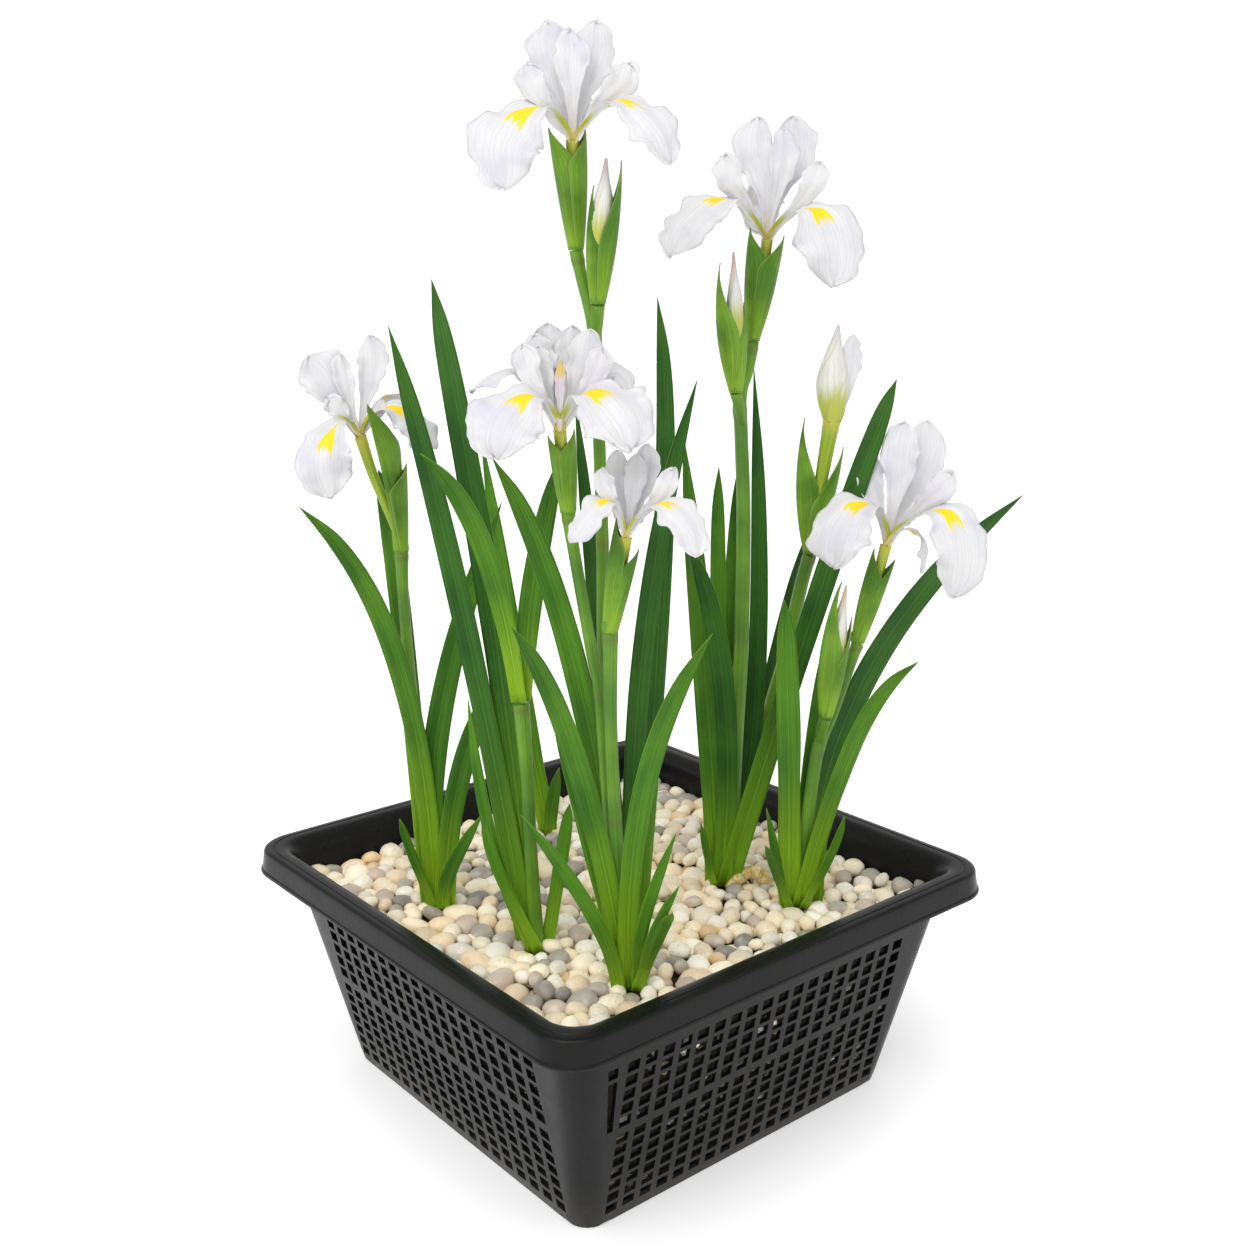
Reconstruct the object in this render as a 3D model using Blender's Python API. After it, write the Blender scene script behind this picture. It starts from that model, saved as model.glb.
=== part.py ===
"""A flowering clump of flag irises rooted in gravel in a square aquatic planting basket.

Sizes are in millimetres and degrees. The origin is the middle of the basket's underside, +Z is up, and the
basket's walls face along X and Y. Each fan of leaves has its own frame: side runs along the flat of the fan,
layer runs through its thickness, and height starts at the gravel.
"""

import math

import bmesh
import bpy
from mathutils import Matrix, Vector

MM = 0.001
GAP = 0.3

# Basket: half widths of its square sections, corner radii and heights.
RIM_HALF = 140.0
RIM_RADIUS = 20.0
RIM_TOP = 125.0
RIM_UNDERSIDE = 122.5
RIM_EDGE = 1.0
RIM_INNER_HALF = 130.0
RIM_INNER_RADIUS = 16.0
MOUTH_HEIGHT = 120.0
SKIRT_HEIGHT = 13.0
SKIRT_FLARE = 1.5
SKIRT_THICKNESS = 2.0
BODY_TOP_HALF = 128.4
BODY_TOP_RADIUS = 15.0
BASE_HALF = 103.0
BASE_RADIUS = 12.0
WALL = 2.2
FLOOR = 3.0
CORNER_STEPS = 3

# Lattice: the same columns of slots in the upper and the lower band of each wall.
LATTICE_COLUMNS = 18
LATTICE_PITCH = 10.4
SLOT_WIDTH = 6.2
UPPER_SLOT = (57.0, 94.0)
LOWER_SLOT = (6.7, 53.0)

GRAVEL_TOP = 110.0

# Crowns: the stub of rhizome at the foot of each fan, flush with the gravel.
CROWN_DEPTH = 20.0
CROWN_SIDES = 10
CROWN_HALF_SIDE = 15.0
CROWN_MARGIN = 3.5
YOUNG_LEAF_ROOT = 6.0

# Leaves: the share of the full width at the foot, how fast it widens, and the width of the tip.
BLADE_FOOT_SHARE = 0.72
BLADE_WIDENING = 0.7
BLADE_TIP_WIDTH = 0.6
BLADE_STEPS = 7
YOUNG_LEAF_STEPS = 5
BLADE_THICKNESS = 0.15

# Spathes: a short plug on the end of the stalk and the green valves round it.
PLUG_RADIUS = 3.6
PLUG_HEIGHT = 5.0
PLUG_SIDES = 8
VALVE_STEPS = 4
VALVE_THICKNESS = 1.0
VALVE_FOLD = 0.2
VALVE_ROOT = (2.2, 1.5)
VALVE_TIP_WIDTH = 0.8

# Flowers: petals and buds give the share of the full width or radius at each share of the length. The
# directions of the petals are counted from FACING, in degrees from +X.
FACING = -40.0
TUBE_FOOT_RADIUS = 2.2
TUBE_TOP_RADIUS = 3.2
THROAT_HEIGHT = 6.0
PETAL_THICKNESS = 1.2
PETAL_SHARES = [(0.3, 0.42), (0.62, 0.96), (0.85, 0.85), (1, 0.3)]
BUD_SIDES = 8
BUD_SHARES = [(0, 0.5), (0.25, 0.75), (0.5, 1), (0.75, 0.85), (0.92, 0.4), (1, 0.1)]

# Fans: the foot on the gravel, and the direction of the flat of the fan in degrees from +X.

FANS = {
    1: ((-84, 39), -30),
    2: ((-74, -32), -50),
    3: ((-60, -87), -34),
    4: ((48, -37), -46),
    5: ((57, -80), -26),
    6: ((16, 80), -40),
}

# Long leaves: fan, foot (side, layer), half way (side, height), tip (side, layer, height), width.
LEAVES = {
    "leaf_1a": (1, (-3, -7), (-17, 134), (-58, -25, 213), 10.5),
    "leaf_1b": (1, (-5, 5.4), (-14, 160), (-21, 30, 221), 10.5),
    "leaf_1c": (1, (1, -4.8), (2, 94), (39, 18, 205), 12.5),
    "leaf_1d": (1, (2, -9.6), (13, 77), (36, -30, 130), 11),
    "leaf_2a": (2, (-5, 3.4), (-35, 173), (-64, 6, 294), 11.5),
    "leaf_2b": (2, (-3, 6), (-27, 203), (-60, 60, 313), 13),
    "leaf_3a": (3, (-4, -15), (-25, 110), (-53, -45, 181), 10),
    "leaf_3b": (3, (-2, 4), (-25, 152), (-58, 20, 240), 11.5),
    "leaf_3c": (3, (-2, -17.5), (2, 95), (27, -55, 178), 10),
    "leaf_3d": (3, (0, 7), (6, 154), (30, 10, 273), 9.5),
    "leaf_3e": (3, (1, 21), (17, 190), (19, 60, 306), 9.5),
    "leaf_3j": (3, (0, 24), (-10, 134), (-18, 75, 261), 8),
    "leaf_4a": (4, (-5, -6.4), (-10, 92), (-24, -10, 241), 13),
    "leaf_4b": (4, (-2, -9), (-2, 109), (-20, -38, 192), 11.5),
    "leaf_4c": (4, (-2, 5.6), (-6, 140), (-7, 12, 220), 8.5),
    "leaf_4e": (4, (-1, 8), (0, 130), (4, 25, 226), 9),
    "leaf_4d": (4, (1, 10.4), (14, 110), (9, 50, 267), 10),
    "leaf_4g": (4, (1, -11.4), (51, 180), (81, 24, 263), 12),
    "leaf_4h": (4, (1, 21), (20, 99), (38, 40, 180), 8),
    "leaf_5a": (5, (-5, -6), (-9, 100), (-11, -2, 161), 12.5),
    "leaf_5c": (5, (8, 7), (42, 121), (137, 40, 199), 14),
    "leaf_5d": (5, (1, -8.4), (22, 85), (43, -40, 136), 10),
}

# The two stem leaves stand on the node at the top of stalk 2: the height of their foot comes first.
STEM_LEAVES = {
    "leaf_2l": (124, (-5, -4.4), (-18, 195), (-38, -35, 243), 10.5),
    "leaf_2r": (124, (-4, 0), (1, 177), (12, 20, 238), 11),
}

# Young leaves of each crown, in the same terms as the long ones.
YOUNG_LEAVES = {
    1: [
        ((-3, -12.6), (-13, 29), (-19, -18, 54), 5),
        ((1, -13.4), (5, 22), (21, -28, 57), 7.5),
    ],
    2: [
        ((-1, -7), (-18, 52), (-25, -20, 129), 6.5),
        ((2, -10), (-16, 42), (-18, -22, 75), 6),
        ((4, 9), (11, 42), (14, 14, 68), 7),
    ],
    3: [
        ((-4, 10.4), (-20, 68), (-35, 14, 131), 7),
        ((2, -20), (3, 34), (15, -38, 86), 6),
        ((3, -22.6), (7, 31), (15, -48, 66), 5),
        ((1, -25), (10, 30), (13, -42, 51), 6),
        ((-7, -18.8), (-20, 42), (-51, -45, 100), 7),
    ],
    4: [((-6, -13), (-10, 17), (-13, -15, 37), 4)],
    5: [
        ((3, 10), (8, 64), (22, 22, 140), 7),
        ((-7, -10.4), (-15, 24), (-28, -30, 65), 5),
        ((-5, -12.6), (-18, 26), (-31, -38, 49), 5),
        ((2, -12), (13, 27), (15, -24, 54), 5),
    ],
    6: [
        ((1, 2), (-13, 80), (-34, 20, 229), 11),
        ((2, -4), (3, 14), (8, -9, 41), 8),
    ],
}

# Flower stalks: fan, then points (side, layer, height, radius) from the gravel to the spathe.
STALKS = {
    "stalk_1": (1, [(-1, 0.6, GAP, 3), (-5, 0.6, 55, 2.9), (-10, 0.6, 114, 2.8), (-12, 0.6, 160, 2.6),
                    (-12, 0.6, 185, 3.2)]),
    "stalk_2": (2, [(0, -1.2, GAP, 3.6), (-2, -1.2, 48, 3.1), (-3, -1.2, 84, 3), (-5, -1.6, 122.5, 3.8)]),
    "stalk_3a": (3, [(-2, -10, GAP, 3), (-8, -10, 75, 3), (-10, -10, 127, 2.8), (-10, -10, 168, 3.4)]),
    "stalk_3b": (3, [(-5, -2, GAP, 3), (-11, -1, 91, 2.8), (-14, 0, 138, 2.7), (-17, 2, 156, 2.6),
                     (-24, 7, 201, 2.6), (-26, 10, 216.5, 3)]),
    "stalk_3c": (3, [(-5, 15.6, GAP, 3), (-10, 18, 132, 2.9), (-10, 24, 200, 2.8), (-11, 33, 270, 2.7),
                     (-12, 36, 295, 3.2), (-17, 39, 316, 2.6), (-19, 40, 326.5, 3)]),
    "stalk_4a": (4, [(1, 0, GAP, 4), (4, 0, 78, 4), (6, 3, 130, 3.8), (6, 10, 193, 3.6), (4, 17, 235, 3.4),
                     (3, 20, 255, 3.6), (7, 23, 268, 2.8), (9, 25, 281.5, 3)]),
    "stalk_4b": (4, [(2, 15.8, 1.1, 3.8), (9, 15.8, 37, 3.8), (22, 15.8, 93, 3.7), (29, 15.8, 121, 3.6),
                     (36, 15, 158, 3.5), (40, 14, 174.5, 3.4)]),
    "stalk_5": (5, [(1, 0, GAP, 3.4), (4, 0, 33, 3.3), (9, 0, 78, 3.2), (17, 0, 101, 3), (26, 0, 127, 2.8),
                    (29, 0, 135.5, 3)]),
}

# Side branches, each carrying a bud: from a point on the stalk to the foot of the bud's spathe.
BRANCHES = {
    "stalk_3c": [(-11.6, 35.5, 286, 2.6), (-11, 33, 295, 2.8), (-10.5, 29.5, 304, 3)],
    "stalk_4a": [(4.4, 17, 240, 2.8), (3, 14, 249, 2.8), (1, 11.4, 257, 3)],
    "stalk_5": [(10.5, 0, 84, 2.6), (9.5, -4, 93, 2.8), (10, -8, 101, 3)],
}

# Spathes: fan, foot, then each green valve as keel direction, tip from the foot, bulge, width.
SPATHES = {
    "spathe_1": (3, (-19, 40, 327.5), [(195, (-11, -4, 49), 0.5, 13), (10, (4.5, 2, 49), 1, 13)]),
    "spathe_2": (4, (9, 25, 282.5), [(190, (-2, -2, 54), 2, 14), (0, (14, 2, 50), 1.5, 14)]),
    "spathe_3": (1, (-12, 0.6, 185.5), [(-60, (-13, -8.6, 72), 2.4, 10), (10, (4, 3, 42), 0.5, 9)]),
    "spathe_4": (3, (-26, 10, 217.5), [(190, (-9, -3, 33), 1.5, 12), (-10, (3, 3, 35), 2, 12)]),
    "spathe_5": (3, (-10, -10, 168.5), [(170, (4, 5, 49), 3.5, 10), (-20, (12, -2, 36), 2, 10)]),
    "spathe_6": (5, (29, 0, 137), [(170, (8, 2, 46), 2.6, 11), (-10, (17, -2, 41), 1.5, 11)]),
    "spathe_7": (4, (40, 14, 176), [(185, (-4, -2, 69), 4, 11), (-10, (15, 1, 54), 2, 12)]),
    "spathe_8": (3, (-10.5, 29.5, 305), [(180, (-1, 1, 48), 2.5, 10), (0, (10, -1, 58), 2, 12)]),
    "spathe_9": (4, (1, 11.4, 258), [(185, (-8, -3, 62), 4, 12), (20, (3, 3.4, 43), 2, 9)]),
    "spathe_10": (5, (10, -8, 102), [(180, (6, -1, 68), 5, 11), (-10, (11, -1, 50), 2, 10)]),
}

# Closed buds: the spathe they stand in, tip from its foot, radius.
BUDS = {
    "bud_1": ("spathe_8", (4, 0, 62), 3.6),
    "bud_2": ("spathe_9", (-2, 0, 67), 3.4),
    "bud_3": ("spathe_10", (8, -1, 66), 3.6),
}

# Open flowers: the spathe they stand in, throat from its foot, then the petals in turn round the throat as
# direction, half way (reach, rise), tip (reach, rise), width. Falls and standards alternate.
FLOWERS = {
    "flower_1": ("spathe_1", (-1, 0, 43), [
        (-42, (31, 22), (54, 1), 32), (30, (6, 28), (8, 51), 18), (95, (17, 19), (32, 8), 18),
        (150, (6, 28), (8, 51), 18), (222, (24, 20), (38, -13), 34), (275, (9, 17), (14, 28), 10)]),
    "flower_2": ("spathe_2", (6, 0, 48), [
        (-42, (31, 22), (48, -13), 36), (38, (8, 32), (16, 60), 20), (95, (18, 20), (34, 8), 18),
        (140, (6, 32), (10, 59), 20), (218, (22, 27), (60, 4), 34), (275, (9, 18), (14, 30), 10)]),
    "flower_3": ("spathe_3", (-17, 0, 55), [
        (5, (17, 15), (37, -9), 24), (65, (6, 26), (10, 48), 16), (120, (16, 16), (30, 6), 16),
        (172, (14, 24), (31, 34), 20), (225, (15, 10), (25, -24), 32), (285, (7, 22), (12, 42), 12)]),
    "flower_4": ("spathe_4", (-3, 0, 35), [
        (-42, (22, 23), (37, -2), 34), (22, (18, 16), (35, 16), 18), (75, (7, 24), (14, 43), 20),
        (125, (8, 24), (14, 44), 20), (170, (20, 15), (41, 16), 18), (222, (20, 21), (40, -3), 36)]),
    "flower_5": ("spathe_5", (7, 0, 39), [
        (-42, (24, 19), (39, 0), 22), (30, (8, 22), (13, 39), 14), (90, (13, 13), (24, 5), 14),
        (140, (4, 19), (6, 35), 14), (218, (10, 18), (27, 3), 20), (275, (7, 13), (11, 20), 8)]),
    "flower_6": ("spathe_6", (13, 0, 49), [
        (-38, (30, 23), (49, -17), 34), (25, (12, 32), (24, 59), 24), (70, (18, 10), (28, -18), 16),
        (150, (5, 24), (9, 44), 16), (225, (17, 31), (33, 0), 36), (275, (9, 16), (14, 26), 10)]),
}

# The half open flower: the spathe it stands in, its throat, the rings (height, radius) of its wrapped petals,
# and its one loose petal.
HALF_OPEN = "flower_7"
HALF_OPEN_SPATHE = "spathe_7"
HALF_OPEN_THROAT = (9, 0, 68)
HALF_OPEN_RINGS = [(8, 6), (18, 9), (28, 8), (38, 5), (46, 2)]
HALF_OPEN_PETAL = (10, (11, 16), (11, 40), 12)


def clear_scene():
    for obj in list(bpy.data.objects):
        bpy.data.objects.remove(obj)


def collection(name):
    made = bpy.data.collections.new(name)
    bpy.context.scene.collection.children.link(made)
    return made


def material(name, colour, roughness):
    made = bpy.data.materials.new(name)
    made.use_nodes = True
    shader = made.node_tree.nodes["Principled BSDF"]
    shader.inputs["Base Color"].default_value = (*colour, 1)
    shader.inputs["Roughness"].default_value = roughness
    shader.inputs["Metallic"].default_value = 0
    made.diffuse_color = (*colour, 1)
    return made


def black_plastic():
    return material("black_plastic", (0.022, 0.022, 0.023), 0.42)


def pale_gravel():
    return material("pale_gravel", (0.62, 0.54, 0.42), 0.6)


def leaf_green():
    return material("leaf_green", (0.06, 0.2, 0.03), 0.45)


def stalk_green():
    return material("stalk_green", (0.13, 0.29, 0.03), 0.45)


def petal_white():
    return material("petal_white", (0.86, 0.85, 0.87), 0.5)


def bud_cream():
    return material("bud_cream", (0.7, 0.66, 0.36), 0.5)


def add(name, bm, stuff, into):
    """An object from a bmesh, its faces turned outward."""
    bmesh.ops.recalc_face_normals(bm, faces=bm.faces)
    mesh = bpy.data.meshes.new(name)
    bm.to_mesh(mesh)
    bm.free()
    obj = bpy.data.objects.new(name, mesh)
    into.objects.link(obj)
    mesh.materials.append(stuff)
    return obj


def add_cutter(name, bm, stuff, into):
    obj = add(name, bm, stuff, into)
    obj.hide_render = True
    obj.display_type = "WIRE"
    return obj


def combine(obj, other, operation):
    boolean = obj.modifiers.new(operation.lower(), "BOOLEAN")
    boolean.operation = operation
    boolean.solver = "EXACT"
    boolean.object = other


def smooth(obj):
    obj.data.polygons.foreach_set("use_smooth", [True] * len(obj.data.polygons))


def place(fan, side, layer, height):
    """A point of a fan's frame in the basket's frame, in metres."""
    (x, y), turn = FANS[fan]
    angle = math.radians(turn)
    along = Vector((math.cos(angle), math.sin(angle), 0))
    through = Vector((-math.sin(angle), math.cos(angle), 0))
    return (Vector((x, y, GRAVEL_TOP + height)) + side * along + layer * through) * MM


def through_direction(fan):
    angle = math.radians(FANS[fan][1])
    return Vector((-math.sin(angle), math.cos(angle), 0))


def curve_point(start, half_way, end, t):
    """A quadratic curve that passes through half_way at t = 0.5."""
    control = 2 * half_way - (start + end) / 2
    return start * (1 - t) ** 2 + control * 2 * t * (1 - t) + end * t * t


def curve_tangent(start, half_way, end, t):
    control = 2 * half_way - (start + end) / 2
    return ((control - start) * (1 - t) + (end - control) * t).normalized()


def move_face(face, old_points, new_points):
    """Carries each corner of a freshly extruded face from its old point to the matching new one."""
    for vert in face.verts:
        nearest = min(range(len(old_points)), key=lambda i: (vert.co - old_points[i]).length)
        vert.co = new_points[nearest]


def extrude_end(bm, face, keep=False):
    """Extrudes an end face. The old face is kept where it closes the start of the body."""
    grown = bmesh.ops.extrude_face_region(bm, geom=[face])["geom"]
    if not keep:
        bmesh.ops.delete(bm, geom=[face], context="FACES_ONLY")
    end = next(item for item in grown if isinstance(item, bmesh.types.BMFace))
    return end, list(end.verts)


def sweep(bm, sections):
    """A closed body through a row of sections, with the last one drawn to a point."""
    made = bmesh.ops.create_circle(bm, cap_ends=True, segments=len(sections[0]), radius=MM)
    for vert, point in zip(made["verts"], sections[0]):
        vert.co = point
    face = made["verts"][0].link_faces[0]
    face, _ = extrude_end(bm, face, keep=True)
    move_face(face, sections[0], sections[1])
    for old, new in zip(sections[1:], sections[2:]):
        face, _ = extrude_end(bm, face)
        move_face(face, old, new)
    bmesh.ops.pointmerge(bm, verts=list(face.verts), merge_co=sum(sections[-1], Vector()) / len(sections[-1]))


def rounded_square(bm, half, radius, z):
    """The corner points of a square ring with rounded corners."""
    ring = []
    for quarter in range(4):
        for step in range(CORNER_STEPS + 1):
            angle = math.radians(90 * quarter + 90 * step / CORNER_STEPS)
            turn = math.radians(90 * quarter + 45)
            x = (half - radius) * math.sqrt(2) * math.cos(turn) + radius * math.cos(angle)
            y = (half - radius) * math.sqrt(2) * math.sin(turn) + radius * math.sin(angle)
            ring.append(bm.verts.new(Vector((x, y, z)) * MM))
    return ring


def loft(bm, rings):
    """Side faces between square rings, closed at both ends."""
    for lower, upper in zip(rings, rings[1:]):
        for i in range(len(lower)):
            j = (i + 1) % len(lower)
            bm.faces.new((lower[i], lower[j], upper[j], upper[i]))
    bm.faces.new(list(reversed(rings[0])))
    bm.faces.new(rings[-1])


def wall_half(z):
    return BASE_HALF + (BODY_TOP_HALF - BASE_HALF) * z / RIM_UNDERSIDE


def wall_radius(z):
    return BASE_RADIUS + (BODY_TOP_RADIUS - BASE_RADIUS) * z / RIM_UNDERSIDE


def basket(parts, cutters, plastic):
    """Walls that widen upward, a rim turned outward and down into a skirt, and the lattice."""
    bm = bmesh.new()
    skirt_foot = RIM_TOP - SKIRT_HEIGHT
    skirt_half = RIM_HALF - SKIRT_THICKNESS
    skirt_radius = RIM_RADIUS - SKIRT_THICKNESS
    profile = [
        (BASE_HALF, BASE_RADIUS, 0),
        (BODY_TOP_HALF, BODY_TOP_RADIUS, RIM_UNDERSIDE),
        (skirt_half, skirt_radius, RIM_UNDERSIDE),
        (skirt_half + SKIRT_FLARE, skirt_radius, skirt_foot),
        (RIM_HALF + SKIRT_FLARE, RIM_RADIUS, skirt_foot),
        (RIM_HALF, RIM_RADIUS, RIM_TOP - RIM_EDGE),
        (RIM_HALF - RIM_EDGE, RIM_RADIUS - RIM_EDGE, RIM_TOP),
        (RIM_INNER_HALF, RIM_INNER_RADIUS, RIM_TOP),
        (wall_half(MOUTH_HEIGHT) - WALL, wall_radius(MOUTH_HEIGHT) - WALL, MOUTH_HEIGHT),
        (wall_half(FLOOR) - WALL, wall_radius(FLOOR) - WALL, FLOOR),
    ]
    loft(bm, [rounded_square(bm, half, radius, z) for half, radius, z in profile])
    body = add("basket", bm, plastic, parts)
    combine(body, lattice_slots(cutters, plastic), "DIFFERENCE")


def lattice_slots(cutters, plastic):
    """One slot for each column of each band of the lattice, in all four walls."""
    bm = bmesh.new()
    for wall in range(4):
        turn = Matrix.Rotation(math.radians(90 * wall), 4, "Z")
        for low, high in (LOWER_SLOT, UPPER_SLOT):
            middle = (low + high) / 2
            reach = wall_half(high) - wall_half(low) + 4 * WALL
            for column in range(LATTICE_COLUMNS):
                x = (column - (LATTICE_COLUMNS - 1) / 2) * LATTICE_PITCH
                centre = Vector((x, -wall_half(middle) + WALL / 2, middle)) * MM
                size = Matrix.Diagonal((SLOT_WIDTH * MM, reach * MM, (high - low) * MM, 1))
                bmesh.ops.create_cube(bm, size=1, matrix=turn @ Matrix.Translation(centre) @ size)
    return add_cutter("lattice_slots", bm, plastic, cutters)


def crown_block(bm, fan, extra):
    """The flat-topped stub of rhizome at the foot of a fan, grown by extra on every side."""
    layers = [foot[1] for foot, *_ in YOUNG_LEAVES[fan]]
    layers += [foot[1] for own, foot, *_ in LEAVES.values() if own == fan]
    front = min(layers) - CROWN_MARGIN
    back = max(layers) + CROWN_MARGIN
    centre = place(fan, 0, (front + back) / 2, -CROWN_DEPTH / 2)
    turn = Matrix.Rotation(math.radians(FANS[fan][1]), 4, "Z")
    size = Matrix.Diagonal(((CROWN_HALF_SIDE + extra) * MM, ((back - front) / 2 + extra) * MM, 1, 1))
    bmesh.ops.create_cone(bm, cap_ends=True, segments=CROWN_SIDES, radius1=1, radius2=1,
                          depth=(CROWN_DEPTH + 2 * extra) * MM,
                          matrix=Matrix.Translation(centre) @ turn @ size)


def gravel(parts, cutters, stone):
    """The bed of gravel, with a pocket round each crown."""
    bm = bmesh.new()
    rings = []
    for z in (FLOOR + GAP, GRAVEL_TOP):
        inset = WALL + GAP
        rings.append(rounded_square(bm, wall_half(z) - inset, wall_radius(z) - inset, z))
    loft(bm, rings)
    bed = add("gravel", bm, stone, parts)
    pockets = bmesh.new()
    for fan in FANS:
        crown_block(pockets, fan, GAP)
    combine(bed, add_cutter("crown_pockets", pockets, stone, cutters), "DIFFERENCE")


def blade(bm, fan, steps, root, foot, half_way, tip, width):
    """A sword leaf: a thin diamond section swept up its curve, with the depth gained near the tip."""
    start = Vector((foot[0], 0, root))
    middle = Vector((half_way[0], 0, half_way[1]))
    end = Vector((tip[0], 0, tip[2]))
    through = through_direction(fan)
    sections = []
    for step in range(steps + 1):
        t = step / steps
        at = curve_point(start, middle, end, t)
        tangent = curve_tangent(start, middle, end, t)
        layer = foot[1] + (tip[1] - foot[1]) * t ** 3
        centre = place(fan, at.x, layer, at.z)
        if step == 0:
            tangent = Vector((0, 0, 1))
        flat = place(fan, tangent.z, 0, -tangent.x) - place(fan, 0, 0, 0)
        spread = min(1, BLADE_FOOT_SHARE + BLADE_WIDENING * t) * (1 - t ** 6) ** 0.85
        full = max(width * spread, BLADE_TIP_WIDTH)
        across = flat * full / 2
        thick = through * (full * BLADE_THICKNESS / 2 * MM)
        sections.append([centre - across, centre - thick, centre + across, centre + thick])
    sweep(bm, sections)


def leaves(parts, green):
    for name, (fan, *shape) in LEAVES.items():
        bm = bmesh.new()
        blade(bm, fan, BLADE_STEPS, GAP, *shape)
        add(name, bm, green, parts)
    for name, (root, *shape) in STEM_LEAVES.items():
        bm = bmesh.new()
        blade(bm, 2, BLADE_STEPS, root, *shape)
        add(name, bm, green, parts)


def crowns(parts, cutters, green):
    """Each crown with the young leaves that grow from it."""
    for fan, young in YOUNG_LEAVES.items():
        bm = bmesh.new()
        crown_block(bm, fan, 0)
        stub = add(f"crown_{fan}", bm, green, parts)
        for i, shape in enumerate(young):
            bm = bmesh.new()
            blade(bm, fan, YOUNG_LEAF_STEPS, -YOUNG_LEAF_ROOT, *shape)
            combine(stub, add_cutter(f"young_leaf_{fan}_{i}", bm, green, cutters), "UNION")


def tube(name, fan, points, stuff, into):
    """A round stem through its points, as a closed mesh."""
    curve = bpy.data.curves.new(name, "CURVE")
    curve.dimensions = "3D"
    curve.bevel_depth = MM
    curve.bevel_resolution = 1
    curve.resolution_u = 2
    curve.use_fill_caps = True
    spline = curve.splines.new("BEZIER")
    spline.bezier_points.add(len(points) - 1)
    for knot, (side, layer, height, radius) in zip(spline.bezier_points, points):
        knot.co = place(fan, side, layer, height)
        knot.radius = radius
        knot.handle_left_type = "AUTO"
        knot.handle_right_type = "AUTO"
    drawn = bpy.data.objects.new(name, curve)
    into.objects.link(drawn)
    bpy.context.view_layer.update()
    mesh = bpy.data.meshes.new_from_object(drawn.evaluated_get(bpy.context.evaluated_depsgraph_get()))
    bpy.data.objects.remove(drawn)
    bm = bmesh.new()
    bm.from_mesh(mesh)
    bpy.data.meshes.remove(mesh)
    bmesh.ops.remove_doubles(bm, verts=bm.verts, dist=0.001 * MM)
    obj = add(name, bm, stuff, into)
    smooth(obj)
    return obj


def stalks(parts, cutters, green):
    """Each flower stalk, with its side branch where it has one."""
    for name, (fan, points) in STALKS.items():
        stem = tube(name, fan, points, green, parts)
        if name in BRANCHES:
            branch = tube(f"{name}_branch", fan, BRANCHES[name], green, cutters)
            branch.hide_render = True
            branch.display_type = "WIRE"
            combine(stem, branch, "UNION")


def valve(bm, fan, foot, keel, tip, bulge, width):
    """One boat-shaped valve of a spathe: a thin folded section that bellies outward and ends in a point."""
    angle = math.radians(keel)
    outward = Vector((math.cos(angle), math.sin(angle), 0))
    aside = Vector((-outward.y, outward.x, 0))
    start = outward * VALVE_ROOT[0] + Vector((0, 0, VALVE_ROOT[1]))
    end = Vector(tip)
    middle = (start + end) / 2 + outward * bulge
    sections = []
    for step in range(VALVE_STEPS + 1):
        t = step / VALVE_STEPS
        at = curve_point(start, middle, end, t) + Vector(foot)
        full = max(width * (0.5 + 2 * t) * (1 - t) ** 0.8 / 1.15, VALVE_TIP_WIDTH)
        fold = VALVE_FOLD * full
        margin = aside * (full / 2)
        keel_line = at + outward * fold
        hollow = at + outward * max(fold - VALVE_THICKNESS, -0.1)
        corners = [at - outward * fold - margin, keel_line, at - outward * fold + margin, hollow]
        sections.append([place(fan, *corner) for corner in corners])
    sweep(bm, sections)


def spathes(parts, cutters, green):
    """Each spathe: its plug with the valves grown from it."""
    for name, (fan, foot, valves) in SPATHES.items():
        bm = bmesh.new()
        centre = place(fan, foot[0], foot[1], foot[2] + GAP + PLUG_HEIGHT / 2)
        bmesh.ops.create_cone(bm, cap_ends=True, segments=PLUG_SIDES, radius1=PLUG_RADIUS * MM,
                              radius2=PLUG_RADIUS * MM, depth=PLUG_HEIGHT * MM,
                              matrix=Matrix.Translation(centre))
        plug = add(name, bm, green, parts)
        for i, shape in enumerate(valves):
            bm = bmesh.new()
            valve(bm, fan, foot, *shape)
            combine(plug, add_cutter(f"{name}_valve_{i}", bm, green, cutters), "UNION")


def spathe_top(name):
    """The fan a spathe belongs to and the point just above its plug, on its axis."""
    fan, foot, _ = SPATHES[name]
    return fan, Vector(foot) + Vector((0, 0, PLUG_HEIGHT + 2 * GAP))


def buds(parts, cream):
    for name, (spathe, tip, radius) in BUDS.items():
        fan, foot = spathe_top(spathe)
        axis = Vector(tip) - Vector((0, 0, PLUG_HEIGHT + 2 * GAP))
        sections = []
        for t, share in BUD_SHARES:
            ring = []
            for corner in range(BUD_SIDES):
                angle = 2 * math.pi * corner / BUD_SIDES
                spread = Vector((math.cos(angle), math.sin(angle), 0)) * (radius * share)
                ring.append(place(fan, *(foot + axis * t + spread)))
            sections.append(ring)
        bm = bmesh.new()
        sweep(bm, sections)
        smooth(add(name, bm, cream, parts))


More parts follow.
